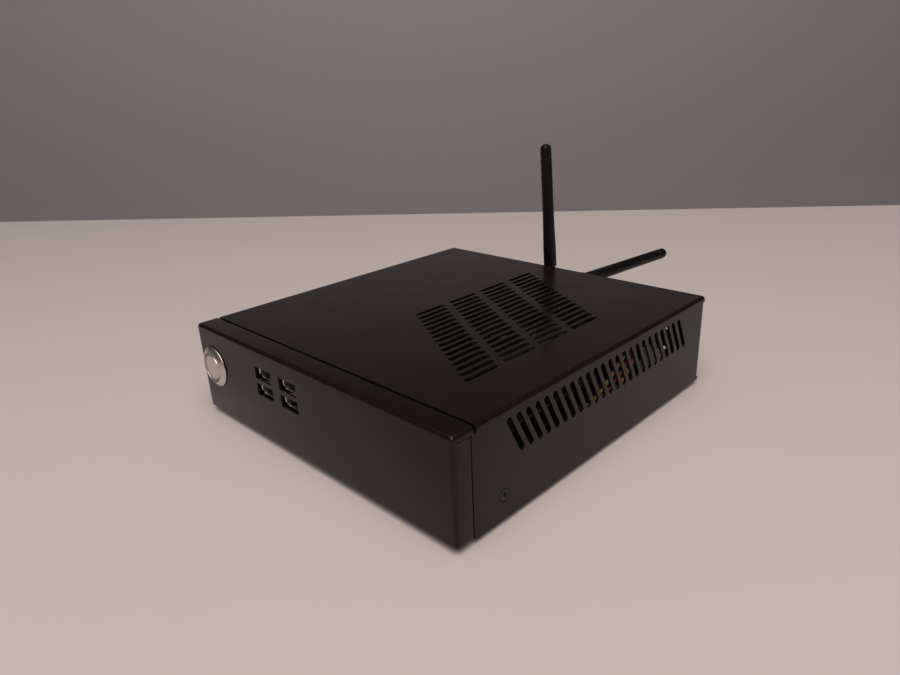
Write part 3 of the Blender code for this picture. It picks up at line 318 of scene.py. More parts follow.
def carved(bm, *cutters, operation="DIFFERENCE"):
    """The shape with other shapes cut from it, or joined to it."""
    body = bpy.data.objects.new("body", bpy.data.meshes.new("body"))
    bm.to_mesh(body.data)
    bm.free()
    bpy.context.scene.collection.objects.link(body)
    helpers = [body]
    for cutter in cutters:
        bmesh.ops.recalc_face_normals(cutter, faces=cutter.faces)
        helper = bpy.data.objects.new("cutter", bpy.data.meshes.new("cutter"))
        cutter.to_mesh(helper.data)
        cutter.free()
        bpy.context.scene.collection.objects.link(helper)
        modifier = body.modifiers.new("cut", "BOOLEAN")
        modifier.operation = operation
        modifier.object = helper
        helpers.append(helper)
    graph = bpy.context.evaluated_depsgraph_get()
    made = bmesh.new()
    made.from_mesh(body.evaluated_get(graph).to_mesh())
    for helper in helpers:
        mesh = helper.data
        bpy.data.objects.remove(helper)
        bpy.data.meshes.remove(mesh)
    return made


def moved(bm, x=0.0, y=0.0, z=0.0):
    bmesh.ops.translate(bm, verts=bm.verts, vec=(x, y, z))
    return bm


# ----------------------------------------------------------------- materials
class Surface:
    """A Principled material whose nodes are added one at a time."""

    def __init__(self, name, colour, roughness, metallic=0.0, **values):
        self.made = bpy.data.materials.new(name)
        self.made.use_nodes = True
        self.tree = self.made.node_tree
        self.shader = self.tree.nodes["Principled BSDF"]
        self.colour, self.roughness = colour, roughness
        self.set("Base Color", (*colour, 1))
        self.set("Roughness", roughness)
        self.set("Metallic", metallic)
        for key, value in values.items():
            self.set(key.replace("_", " "), value)
        self.spot = self.add("ShaderNodeTexCoord").outputs["Object"]
        self.height = None

    def set(self, socket, value):
        self.shader.inputs[socket].default_value = value

    def add(self, kind, **links):
        """A node. Names ending in _ are its own settings, the rest its inputs."""
        node = self.tree.nodes.new(kind)
        for key, value in links.items():
            if key.endswith("_"):
                setattr(node, key[:-1], value)
                continue
            socket = node.inputs[int(key[1:]) if key[0] == "i" else key.replace("_", " ")]
            if isinstance(value, bpy.types.NodeSocket):
                self.tree.links.new(value, socket)
            else:
                socket.default_value = value
        return node

    def noise(self, scale, detail=2.0, stretch=(1, 1, 1), spot=None):
        """Noise from 0 to 1, its scale in repeats per metre."""
        place = self.add("ShaderNodeMapping", Vector=spot or self.spot, Scale=stretch)
        made = self.add("ShaderNodeTexNoise", Vector=place.outputs[0], Scale=scale, Detail=detail)
        return made.outputs["Fac"]

    def ranged(self, value, low, high, start=0.35, end=0.65):
        limits = {"From_Min": start, "From_Max": end, "To_Min": low, "To_Max": high}
        made = self.add("ShaderNodeMapRange", Value=value, **limits)
        return made.outputs["Result"]

    def mixed(self, share, one, two):
        made = self.add("ShaderNodeMix", data_type_="RGBA", Factor=share)
        for index, value in ((6, one), (7, two)):
            if isinstance(value, bpy.types.NodeSocket):
                self.tree.links.new(value, made.inputs[index])
            else:
                made.inputs[index].default_value = (*value, 1)
        return made.outputs[2]

    def tint(self, share, low=0.85, high=1.15):
        """The base colour varies between two shades of itself."""
        one, two = ([min(c * k, 1) for c in self.colour] for k in (low, high))
        self.link(self.mixed(share, one, two), "Base Color")

    def gloss(self, share, spread):
        low, high = self.roughness - spread, self.roughness + spread
        self.link(self.ranged(share, low, high), "Roughness")

    def bump(self, height, depth, strength=1.0):
        """Relief that is depth metres deep, on top of any given before."""
        made = self.add("ShaderNodeBump", Height=height, Distance=depth, Strength=strength)
        if self.height:
            self.tree.links.new(self.height, made.inputs["Normal"])
        self.height = made.outputs["Normal"]
        self.link(self.height, "Normal")

    def link(self, output, socket):
        self.tree.links.new(output, self.shader.inputs[socket])


def powder_coat():
    made = Surface("powder_coat", (0.0092, 0.0071, 0.0066), 0.22, Specular_IOR_Level=0.24)
    made.tint(made.noise(28, 3), 0.9, 1.12)
    made.gloss(made.noise(60, 4), 0.03)
    made.bump(made.noise(750, 2), 0.000006, 0.6)
    made.bump(made.noise(3600, 2), 0.0000015, 0.8)
    return made.made


def plain(name, colour, roughness, metallic=0.0, grain=800, depth=0.00002, spread=0.06, **values):
    """A moulded or plated surface: fine grain, and slight changes of shade."""
    made = Surface(name, colour, roughness, metallic, **values)
    made.tint(made.noise(grain * 0.12, 3), 0.86, 1.14)
    made.gloss(made.noise(grain * 0.3, 3), spread)
    made.bump(made.noise(grain, 2), depth, 0.5)
    return made.made


def brushed(name, colour, roughness, stretch, depth=0.00002):
    """Bare metal with fine lines along one direction."""
    made = Surface(name, colour, roughness, 1.0)
    lines = made.noise(60, 3, stretch)
    made.tint(lines, 0.8, 1.12)
    made.gloss(lines, 0.09)
    made.bump(lines, depth, 0.5)
    return made.made


def spun(name, colour, roughness, depth=0.000012):
    """Metal turned on a lathe: fine rings round the piece's own Y axis."""
    made = Surface(name, colour, roughness, 1.0)
    flat = made.add("ShaderNodeVectorMath", operation_="MULTIPLY", i0=made.spot, i1=(1, 0, 1))
    far = made.add("ShaderNodeVectorMath", operation_="LENGTH", i0=flat.outputs[0])
    ringed = made.add("ShaderNodeCombineXYZ", X=far.outputs["Value"])
    rings = made.noise(3800, 3, spot=ringed.outputs[0])
    made.tint(rings, 0.88, 1.06)
    made.gloss(rings, 0.05)
    made.bump(rings, depth, 0.5)
    made.bump(made.noise(500, 2), 0.00001, 0.2)
    return made.made


def zinc_plate():
    made = Surface("zinc_plate", (0.54, 0.54, 0.52), 0.34, 1.0)
    cells = made.add("ShaderNodeTexVoronoi", Vector=made.spot, Scale=260.0)
    made.tint(cells.outputs["Color"], 0.8, 1.12)
    made.gloss(cells.outputs["Distance"], 0.08)
    made.bump(made.noise(1500, 2), 0.00001, 0.4)
    return made.made


def circuit_board():
    """Solder mask over a faint pattern of copper lines and dots."""
    made = Surface("solder_mask", (0.006, 0.02, 0.014), 0.34)
    lines = {"Scale": 150.0, "Distortion": 5.0, "Detail": 1.0, "Detail_Scale": 0.6}
    lanes = made.add("ShaderNodeTexWave", Vector=made.spot, **lines)
    copper = made.ranged(lanes.outputs["Fac"], 0.0, 1.0, 0.72, 0.78)
    patches = made.ranged(made.noise(45, 1), 0.0, 0.8, 0.5, 0.54)
    share = made.add("ShaderNodeMath", operation_="MULTIPLY", i0=copper, i1=patches)
    made.link(made.mixed(share.outputs[0], made.colour, (0.018, 0.055, 0.03)), "Base Color")
    made.gloss(made.noise(300, 2), 0.06)
    made.bump(share.outputs[0], 0.00003, 0.6)
    return made.made


def wire(name, colour):
    return plain(name, colour, 0.38, grain=500, depth=0.00001, Coat_Weight=0.15)


WHIP_GRAIN = {"grain": 1500, "depth": 0.000006, "Specular_IOR_Level": 0.22}
FINISH = {
    "coat": powder_coat(),
    "button": spun("spun_stainless", (0.68, 0.63, 0.58), 0.3),
    "nickel": brushed("nickel_plate", (0.62, 0.6, 0.56), 0.27, (1, 30, 1)),
    "zinc": zinc_plate(),
    "gold": plain("gold_plate", (0.8, 0.56, 0.24), 0.24, 1.0, 1200, 0.000008),
    "oxide": plain("black_oxide", (0.022, 0.021, 0.02), 0.36, 0.5, 1500),
    "rubber": plain("foot_rubber", (0.018, 0.017, 0.017), 0.72, grain=1600, depth=0.00006),
    "plastic": plain("moulded_plastic", (0.014, 0.014, 0.014), 0.42, grain=1800),
    "whip": plain("antenna_rubber", (0.0044, 0.0039, 0.0039), 0.4, **WHIP_GRAIN),
    "lens": plain("frosted_lens", (0.36, 0.35, 0.33), 0.4, Subsurface_Weight=0.2),
    "board": circuit_board(),
    "epoxy": plain("chip_epoxy", (0.017, 0.017, 0.018), 0.5, grain=2500),
    "ferrite": plain("ferrite_grey", (0.085, 0.085, 0.088), 0.6, grain=2200, depth=0.00005),
    "fins": brushed("fin_aluminium", (0.7, 0.7, 0.71), 0.28, (1, 1, 25)),
    "can": brushed("can_aluminium", (0.3, 0.3, 0.31), 0.32, (1, 1, 12)),
    "white": plain("white_nylon", (0.72, 0.7, 0.64), 0.42, grain=900),
    "tan": plain("ceramic_tan", (0.3, 0.2, 0.12), 0.5, grain=2500),
    "solder": plain("solder_tin", (0.66, 0.66, 0.66), 0.26, 1.0, 2400),
    "drive": plain("anodised_black", (0.03, 0.03, 0.031), 0.33, 0.8, 2200, 0.00001),
    "jacket": plain("cable_jacket", (0.016, 0.016, 0.017), 0.46, grain=900),
    "yellow": wire("wire_yellow", (0.46, 0.31, 0.07)),
    "red": wire("wire_red", (0.26, 0.05, 0.035)),
    "orange": wire("wire_orange", (0.5, 0.19, 0.07)),
    "black": wire("wire_black", (0.02, 0.02, 0.02)),
    "green_ring": plain("jack_green", (0.1, 0.35, 0.13), 0.4),
    "pink_ring": plain("jack_pink", (0.62, 0.2, 0.24), 0.4),
}


# -------------------------------------------------------------------- pieces
def soften(made, width, sharp):
    """Rounds the edges that are sharper than an angle, in degrees."""
    bevel = made.modifiers.new("edge", "BEVEL")
    bevel.width = width * MM
    bevel.segments = 2
    bevel.limit_method = "ANGLE"
    bevel.angle_limit = math.radians(sharp)
    bevel.harden_normals = True


def piece(name, bm, finish, stands_for=(), body="case", place=None, edge=0.0, sharp=32):
    """One visible piece, riding on a body, in place of some CAD nodes."""
    bmesh.ops.recalc_face_normals(bm, faces=bm.faces)
    bmesh.ops.scale(bm, vec=(MM, MM, MM), verts=bm.verts)
    mesh = bpy.data.meshes.new(name)
    bm.to_mesh(mesh)
    bm.free()
    mesh.materials.append(FINISH[finish])
    mesh.shade_smooth()
    made = bpy.data.objects.new(name, mesh)
    bpy.context.scene.collection.objects.link(made)
    local = place.copy() if place else Matrix.Identity(4)
    local.translation *= MM
    made.matrix_world = Matrix.Translation(CASE_AT) @ local
    if edge:
        soften(made, edge, sharp)
    else:
        mesh.set_sharp_from_angle(angle=math.radians(sharp))
    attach(made, body)
    if stands_for:
        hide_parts(*([stands_for] if isinstance(stands_for, str) else stands_for))
    return made


def weighted(made, sharp=50):
    """Keeps big faces flat where small ones round their edges."""
    made.data.set_sharp_from_angle(angle=math.radians(sharp))
    modifier = made.modifiers.new("normals", "WEIGHTED_NORMAL")
    modifier.keep_sharp = True
    modifier.weight = 90
    return made


def dress(node, finish, edge=0.1):
    """A CAD node that stays, with its own finish and softened edges."""
    kept = frame["nodes"][node]
    kept.data.materials.clear()
    kept.data.materials.append(FINISH[finish])
    soften(kept, edge, 40)


def at(x=0.0, y=0.0, z=0.0, turn=0.0, axis="Z"):
    """A place in case millimetres, turned by degrees."""
    return Matrix.Translation((x, y, z)) @ Matrix.Rotation(math.radians(turn), 4, axis)


# --------------------------------------------------------------- sheet metal
TOP_ROWS, TOP_COLUMNS = 4, 16
TOP_PITCH, TOP_ROW_PITCH, TOP_STEP = 5.09, 25.9, 2.94
TOP_SLOT = (3.0, 21.2)
SIDE_COUNT, SIDE_PITCH, SIDE_FIRST, SIDE_Z = 24, 6.02, 35.9, 36.1
SIDE_SLOT = (2.9, 20.3)
SIDE_SLANT = math.radians(27.8)
COOLER = middle("fan_rotor")
NEUTRAL = BEND - SHEET / 2
ARC = NEUTRAL * math.pi / 2
FOLD_X, FOLD_Y = HALF_WIDTH - BEND, DEPTH - BEND
FLAP_Z, FLAP_WIDTH, FLAP_NOTCH = (2.5, 46.0), 13.0, 0.6
TOP_SEAM_EXTRA, SIDE_SEAM_TRIM = 0.55, 0.2
SEAM_STRIP_X, SEAM_STRIP_Y = (38.5, 81.5), (9.0, 23.0)


def down(z):
    """Distance from the middle of the flat sheet to a height on the side."""
    return FOLD_X + ARC + HEIGHT - BEND - z


def top_vents():
    holes = []
    for row in range(TOP_ROWS):
        for column in range(TOP_COLUMNS):
            across = column - (TOP_COLUMNS - 1) / 2
            y = COOLER.y + (row - (TOP_ROWS - 1) / 2) * TOP_ROW_PITCH - across * TOP_STEP
            holes.append(slot(COOLER.x + across * TOP_PITCH, y, *TOP_SLOT))
    return holes


def folded(bm, line, axis, sign=1, chosen=None):
    """Bends what lies beyond a line down by a right angle."""
    for vert in chosen or bm.verts:
        beyond = vert.co[axis] * sign - line
        if beyond <= 0:
            continue
        turn = min(beyond / NEUTRAL, math.pi / 2)
        straight = max(beyond - ARC, 0)
        lift = NEUTRAL + vert.co.z
        vert.co[axis] = sign * (line + lift * math.sin(turn))
        vert.co.z = -NEUTRAL + lift * math.cos(turn) - straight


def scored(bm, line, axis, steps=8):
    """Cuts a flat sheet across a bend, so that the bend comes out round."""
    normal = Vector((0, 0, 0))
    normal[axis] = 1
    for i in range(steps + 1):
        spot = normal * (line + math.copysign(ARC * i / steps, line))
        geom = bm.verts[:] + bm.edges[:] + bm.faces[:]
        bmesh.ops.bisect_plane(bm, geom=geom, dist=1e-5, plane_co=spot, plane_no=normal)


def make_cover():
    """Top and sides from one flat sheet, slotted, then folded."""
    flap_end = FOLD_Y + ARC + FLAP_WIDTH - BEND
    foot, head = down(FLAP_Z[0]), down(FLAP_Z[1])
    front = SIDE_FRONT - SIDE_SEAM_TRIM
    outline = [(down(TRAY), TOP_FRONT + TOP_SEAM_EXTRA), (down(TRAY), front), (down(0), front)]
    outline += [(down(0), DEPTH), (foot + FLAP_NOTCH, DEPTH), (foot + FLAP_NOTCH, FOLD_Y)]
    outline += [(foot, FOLD_Y), (foot, flap_end), (head, flap_end), (head, FOLD_Y)]
    outline += [(head - FLAP_NOTCH, FOLD_Y), (head - FLAP_NOTCH, DEPTH)]
    radii = [0.4, 0.6, 1.0, 0.8, 0.3, 0, 0, 2.5, 2.5, 0, 0, 0.3]
    both = outline + [(-x, y) for x, y in reversed(outline)]
    holes = top_vents()
    screw, rear = middle("side_screw_right"), middle("rear_screw_right")
    rear_y = FOLD_Y + ARC + HALF_WIDTH - BEND - rear.x
    lean = SIDE_SLANT - math.pi / 2
    slots = [slot(down(SIDE_Z), SIDE_FIRST + i * SIDE_PITCH, *SIDE_SLOT, lean) for i in range(SIDE_COUNT)]
    for side in (-1, 1):
        holes += [[(side * a, b) for a, b in points] for points in slots]
        holes.append(circle(side * down(screw.z), screw.y, 3.0, 28))
        holes.append(circle(side * down(rear.z), rear_y, 1.7, 20))
    bm = plate(filleted(both, radii + radii[::-1]), holes, -SHEET / 2, SHEET / 2)
    for line, axis in ((FOLD_X, 0), (-FOLD_X, 0), (FOLD_Y, 1)):
        scored(bm, line, axis)
    low, high = head - FLAP_NOTCH / 2, foot + FLAP_NOTCH / 2
    folded(bm, FOLD_Y, 1, 1, [v for v in bm.verts if low < abs(v.co.x) < high])
    folded(bm, FOLD_X, 0, 1)
    folded(bm, FOLD_X, 0, -1)
    moved(bm, z=HEIGHT - SHEET / 2)
    weighted(piece("cover_sheet", bm, "coat", "top_cover"))


def make_bezel():
    """Front face and its flanges, with the seams where they are folded together."""
    bm = block((-HALF_WIDTH, 0, 0), (HALF_WIDTH, TOP_FRONT - SEAM, HEIGHT))
    edges = [e for e in bm.edges if e.verts[0].co.y == 0 or e.verts[0].co.y != e.verts[1].co.y]
    bmesh.ops.bevel(bm, geom=edges, offset=BEND, segments=7, profile=0.5, affect="EDGES")
    inside, beyond = HALF_WIDTH - SHEET, TOP_FRONT + BEND
    flange = SIDE_FRONT - SEAM + SIDE_SEAM_TRIM
    button = middle("power_button_housing")
    windows = [prism(centred(x, z, *USB_WINDOW, 0.35, 3), -1, 3, "y") for x in USB_X for z in USB_Z]
    spots = [middle(f"bezel_screw_{word}") for word in ("left", "right")]
    screws = [rod(spot.x, spot.y, 1.7, -1, 3) for spot in spots]
    seam = [(-0.6, 50.3), (1.5, 48.4), (3.7, 46.8), (8.2, 46.5), (9.9, 45.7)]
    near, far = HALF_WIDTH - 0.55, HALF_WIDTH + 1
    grooves = [ribbon_prism(seam, 0.3, *ends, "x") for ends in ((-far, -near), (near, far))]
    bm = carved(
        bm,
        block((-inside, SHEET, SHEET), (inside, beyond, HEIGHT - SHEET)),
        block((-HALF_WIDTH - 2, flange, -2), (HALF_WIDTH + 2, beyond, TRAY)),
        rod(button.x, button.z, 9.7, -1, 3, "y", 48),
        *windows,
        *screws,
        *grooves,
    )
    piece("bezel_sheet", bm, "coat", "front_bezel", edge=0.14, sharp=40)


def make_seam_strip():
    """Folded strip under the top seam, behind the relief in the chassis lip."""
    top = span("chassis")[1].z - SHEET - 0.1
    low, high = zip(SEAM_STRIP_X, SEAM_STRIP_Y, (top - SHEET, top))
    piece("seam_strip", block(low, high), "coat", edge=0.2)


# -------------------------------------------------------------- power button
def make_button():
    """Turned head and barrel, light ring, cap, contacts and lock nut."""
    low, high = span("power_button_housing")
    front, back, head_r = low.y, high.y, half_width("power_button_housing")
    place = at((low.x + high.x) / 2, 0, (low.z + high.z) / 2)
    body_r, bore_r, seat_r, seat_y, pitch = 9.4, 7.2, 8.2, 1.8, 1.0
    shell = [(seat_r, front + 0.5), (seat_r + 0.1, front + 0.14), (seat_r + 0.3, front)]
    shell += [(seat_r + 0.5, front + 0.03), (head_r - 0.3, -0.8), (head_r - 0.08, -0.64)]
    shell += [(head_r, -0.42), (head_r - 0.12, -0.3), (body_r, -0.3)]
    shell += thread(body_r, 0.3, 2.6, pitch, int((back - 3) / pitch))
    shell += [(body_r, back - 0.3), (body_r - 0.3, back), (bore_r, back), (bore_r, seat_y), (seat_r, seat_y)]
    bm = turned(shell, 96, "y", ring=True)
    piece("button_housing", bm, "button", "power_button_housing", place=place)
    face, lens_r, lens_back = front + 0.45, 7.9, seat_y - GAP
    lens = [(bore_r, face + 0.15), (bore_r + 0.12, face), (lens_r - 0.12, face)]
    lens += [(lens_r, face + 0.15), (lens_r, lens_back), (bore_r, lens_back)]
    bm = turned(lens, 96, "y", ring=True)
    piece("button_light_ring", bm, "lens", "power_button_light_ring", place=place)
    low, high = span("power_button_cap")
    cap_r = half_width("power_button_cap")
    cap = [(0, low.y + 0.03), (4.5, low.y + 0.01), (cap_r - 0.55, low.y), (cap_r - 0.32, low.y + 0.08)]
    cap += [(cap_r - 0.06, low.y + 0.42), (cap_r, low.y + 0.6), (cap_r, 3.0), (3.0, 3.2)]
    cap += [(3.0, high.y), (0, high.y)]
    rides = "power_button_plunger"
    piece("button_cap", turned(cap, 96, "y"), "button", "power_button_cap", rides, place)
    low, high = span("power_button_nut")
    outline = circle(0, 0, half_width("power_button_nut") * 0.995, 6)
    nut = plate(outline, [circle(0, 0, 9.65, 48)], low.y, high.y, "y", 0.2)
    piece("button_nut", nut, "nickel", "power_button_nut", place=place, sharp=20)
    make_contacts(place)


def make_contacts(place):
    """Contact block behind the button, with four blades."""
    node = "power_button_contact_block"
    low, high = span(node)
    neck, back = 22.3, 27.5
    body = [(0, low.y), (6.7, low.y), (6.9, low.y + 0.2), (6.9, neck), (8.4, neck), (8.6, neck + 0.2)]
    body += [(8.6, back - 0.3), (8.3, back), (0, back)]
    piece("button_contact_block", turned(body, 48, "y"), "plastic", node, place=place)
    outlines = [centred(x, z, 2.4, 0.6, 0.1) for x in (-3, 3) for z in (-4, 4)]
    blades = [plate(outline, [], back - 0.5, high.y, "y", 0.08) for outline in outlines]
    piece("button_contacts", joined(*blades), "gold", place=place)


# -------------------------------------------------------------- plug sockets
USB_X = [middle(f"front_usb_{word}_shell").x for word in ("left", "right")]
USB_PITCH = 8.85
USB_Z = [middle("front_usb_left_shell").z + side * USB_PITCH / 2 for side in (-1, 1)]
USB_WINDOW = (14.2, 6.4)
USB_MOUTH = (12.5, 5.1)
LIP = [(-0.5, 0.42), (-0.2, 0.18), (0.3, 0.12)]
SPRING = [(1.2, 0.02), (3.2, 0.3), (4.6, 0.5), (5.6, 0.3)]


def make_stack(word, back):
    """Two plug sockets in one folded shell, with springs, tongues and contacts."""
    low, high = span(f"{word}_shell")
    spot, depth = (low + high) / 2, high.y - low.y
    place = at(spot.x, high.y if back else low.y, spot.z, 180 if back else 0)
    wide, tall = USB_MOUTH
    outer = centred(0, 0, high.x - low.x, high.z - low.z, 0.7, 4)
    mouths = [centred(0, side * USB_PITCH / 2, wide, tall, 0.45, 4) for side in (-1, 1)]
    shell = [plate(outer, mouths, 0, 0.35, "y", 0.1), plate(outer, mouths, 0.35, depth - 4.2, "y", 0.02)]
    bars, gold = [slab(0, 15.45, -6.3, 11.8, 3.6, 12.6)], []
    for mid in (-USB_PITCH / 2, USB_PITCH / 2):
        for end in (-1, 1):
            z, x = mid + end * tall / 2, end * wide / 2
            flare = [(y, z + end * rise) for y, rise in LIP]
            shell.append(ribbon_prism(flare, 0.24, 1.2 - wide / 2, wide / 2 - 1.2, "x"))
            flare = [(x + end * rise, y) for y, rise in LIP]
            shell.append(ribbon_prism(flare, 0.24, mid - 1.5, mid + 1.9, "z"))
        leaf = [(y, mid - tall / 2 + rise) for y, rise in SPRING]
        shell += [ribbon_prism(leaf, 0.18, x - 0.7, x + 0.7, "x") for x in (-3.1, 3.1)]
        z = mid + 0.98
        bars.append(plate(centred(0, z, 11.1, 1.85, 0.25, 3), [], 1.4, 14.5, "y", 0.15))
        for i in range(4):
            x, reach = (i - 1.5) * 2.3, 3.1 if i in (1, 2) else 2.3
            gold.append(block((x - 0.5, reach, z - 0.99), (x + 0.5, 10, z - 0.85)))
    piece(f"{word}_sockets", joined(*shell), "nickel", f"{word}_shell", place=place)
    tongues = joined(*bars)
    piece(f"{word}_tongues", tongues, "plastic", f"{word}_insert", place=place, edge=0.08)
    piece(f"{word}_contacts", joined(*gold), "gold", place=place, edge=0.05)


def make_front_board():
    """Small board that carries both front stacks, with its plug and screws."""
    low, high = span("front_usb_board")
    screws = [(-49.0, 21.0), (5.0, 21.0)]
    holes = [circle(*spot, 1.6, 20) for spot in screws]
    bm = plate(rounded(low.x, low.y, high.x, high.y, 0.8), holes, low.z, high.z, edge=0.06)
    piece("front_board", bm, "board", "front_usb_board")
    plug = slab(-20, 23.6, high.z, 12.5, 4.2, 4.6)
    piece("front_board_plug", plug, "white", edge=0.2)
    parts = scattered(11, 26, (-52, 6, 7, 24), high.z, [(-42, -2, 2, 22)])
    parts += [slab(-24 + i * 2.0, 23.6, high.z, 0.5, 0.5, 4.2) for i in range(5)]
    piece("front_board_parts", joined(*parts), "tan")
    heads = [pan_screw(*spot, high.z + 0.02) for spot in screws]
    piece("front_board_screws", joined(*heads), "nickel")


def scattered(seed, count, area, z, keep_off=()):
    """Small board components at random places in an area, clear of some others."""
    draw = random.Random(seed)
    x_low, x_high, y_low, y_high = area
    made = []
    while len(made) < count:
        x, y = draw.uniform(x_low, x_high), draw.uniform(y_low, y_high)
        long, wide, tall = draw.choice([(1.6, 0.8, 0.6), (1.0, 0.5, 0.4), (2.0, 1.25, 0.9)])
        if draw.random() < 0.5:
            long, wide = wide, long
        if not any(a - 1 < x < b + 1 and c - 1 < y < d + 1 for a, b, c, d in keep_off):
            made.append(slab(x, y, z, long, wide, tall))
    return made


# ------------------------------------------------------------ screws, feet
SUNK_HEAD = [(0, 0), (1.6, 0), (2.6, 0), (2.75, -0.12), (1.45, -1.5), (1.45, -7), (0, -7)]
PAN_HEAD = [(0, 2.1), (1.7, 2.1), (2.3, 1.85), (2.65, 1.4), (2.75, 0.9), (2.75, 0.3)]
PAN_HEAD += [(1.3, 0.3), (1.3, -5.2), (0, -5.2)]
LOW_HEAD = [(0, 1.7), (1.7, 1.7), (2.2, 1.5), (2.55, 1.1), (2.6, 0.8), (2.6, 0.3)]
LOW_HEAD += [(1.3, 0.3), (1.3, -4.5), (0, -4.5)]


def thread(radius, deep, low, pitch, turns):
    """The zigzag profile of a screw thread."""
    rows = []
    for i in range(turns):
        rows += [(radius, low + i * pitch), (radius - deep, low + i * pitch + pitch / 2)]
    return rows


def pan_screw(x, y, z, radius=2.6, height=1.7):
    """A pan head with a cross recess, standing on z."""
    profile = [(0, z), (radius, z), (radius, z + height * 0.45), (radius * 0.75, z + height * 0.85)]
    profile += [(radius * 0.4, z + height), (0, z + height)]
    cross = [slab(0, 0, z + height * 0.35, *size, height) for size in ((2.3, 0.5), (0.5, 2.3))]
    return moved(carved(turned(profile, 28, "z"), *cross), x, y)


def hex_screw(profile, place, node):
    """A turned screw with a hexagon socket, its head's top first in the profile."""
    top = profile[0][1]
    bm = carved(turned(profile, 40, "z"), prism(circle(0, 0, 1.16, 6), top - 1.1, top + 1))
    piece(f"{node}_turned", bm, "oxide", node, place=place, edge=0.06, sharp=35)


def make_screws():
    for side, word in ((-1, "left"), (1, "right")):
        spot = middle(f"side_screw_{word}")
        place = at(side * HALF_WIDTH, spot.y, spot.z, side * 90, "Y")
        hex_screw(SUNK_HEAD, place, f"side_screw_{word}")
        spot = middle(f"rear_screw_{word}")
        hex_screw(PAN_HEAD, at(spot.x, DEPTH, spot.z, -90, "X"), f"rear_screw_{word}")
        spot = middle(f"bezel_screw_{word}")
        hex_screw(LOW_HEAD, at(spot.x, spot.y, 0, 180, "X"), f"bezel_screw_{word}")


def make_feet():
    """Rubber feet with a grooved edge and a dished underside."""
    for node in ("foot_front_left", "foot_front_right", "foot_back_left", "foot_back_right"):
        low, high = span(node)
        spot, radius, tall = middle(node), half_width(node), high.z - low.z
        profile = [(0, 0.5), (2.4, 0.5), (2.8, 0.15), (3.1, 0), (4.9, 0), (5.4, 0.25), (5.65, 0.8)]
        profile += [(5.5, 1.0), (5.7, 1.2), (radius, tall - 0.2), (radius - 0.2, tall), (0, tall)]
        bm = moved(turned(profile, 56, "z"), z=low.z)
        piece(f"{node}_moulded", bm, "rubber", node, place=at(spot.x, spot.y))


# ------------------------------------------------------------------ antennas
JOINTS = {joint["name"]: joint for joint in frame["joints"]}
WHIP_START, WHIP_TIP, WHIP_TIP_R = 5.2, 85.8, 3.5
EAR_R, TAB_HALF, EARS_X = 4.2, 1.5, ((-4.3, -1.8), (1.8, 4.3))


def superellipse(a, b, power, steps=40):
    points = []
    for i in range(steps):
        t = 2 * math.pi * i / steps
        x, y = (math.copysign(abs(v) ** (2 / power), v) for v in (math.cos(t), math.sin(t)))
        points.append((a * x, b * y))
    return points


def half_disc(radius, quarter, steps=20):
    """Half a circle of points, which starts after a number of quarter turns."""
    angles = [math.pi * (quarter / 2 + i / steps) for i in range(steps + 1)]
    return [(radius * math.cos(a), radius * math.sin(a)) for a in angles]


def whip_shape():
    """Flat-sided near the hinge, and round from the middle to the tip."""
    lower = [(0, 3.2, 3.7, 3), (0.25, 3.45, 3.95, 3), (0.7, 3.6, 4.1, 3), (12, 3.6, 4.1, 3)]
    lower += [(17, 3.62, 4.02, 2.7), (22, 3.65, 3.92, 2.4), (28, 3.7, 3.82, 2.15), (34, 3.7, 3.72, 2)]
    upper = [(30, 3.66, 3.67), (9.3, 3.6, 3.6), (9.0, 3.34, 3.34), (8.6, 3.34, 3.34)]
    upper += [(8.3, 3.6, 3.6), (5.5, 3.55, 3.55)]
    rows = [(superellipse(a, b, power), WHIP_START + z) for z, a, b, power in lower]
    rows += [(superellipse(a, b, 2), WHIP_TIP - z) for z, a, b in upper]
    dome, steps = WHIP_TIP_R * 0.8, 8
    for i in range(steps):
        t = math.pi / 2 * i / steps
        r = WHIP_TIP_R * math.cos(t)
        rows.append((superellipse(r, r, 2), WHIP_TIP - dome + dome * math.sin(t)))
    return skin([[(x, y, z) for x, y in outline] for outline, z in rows])


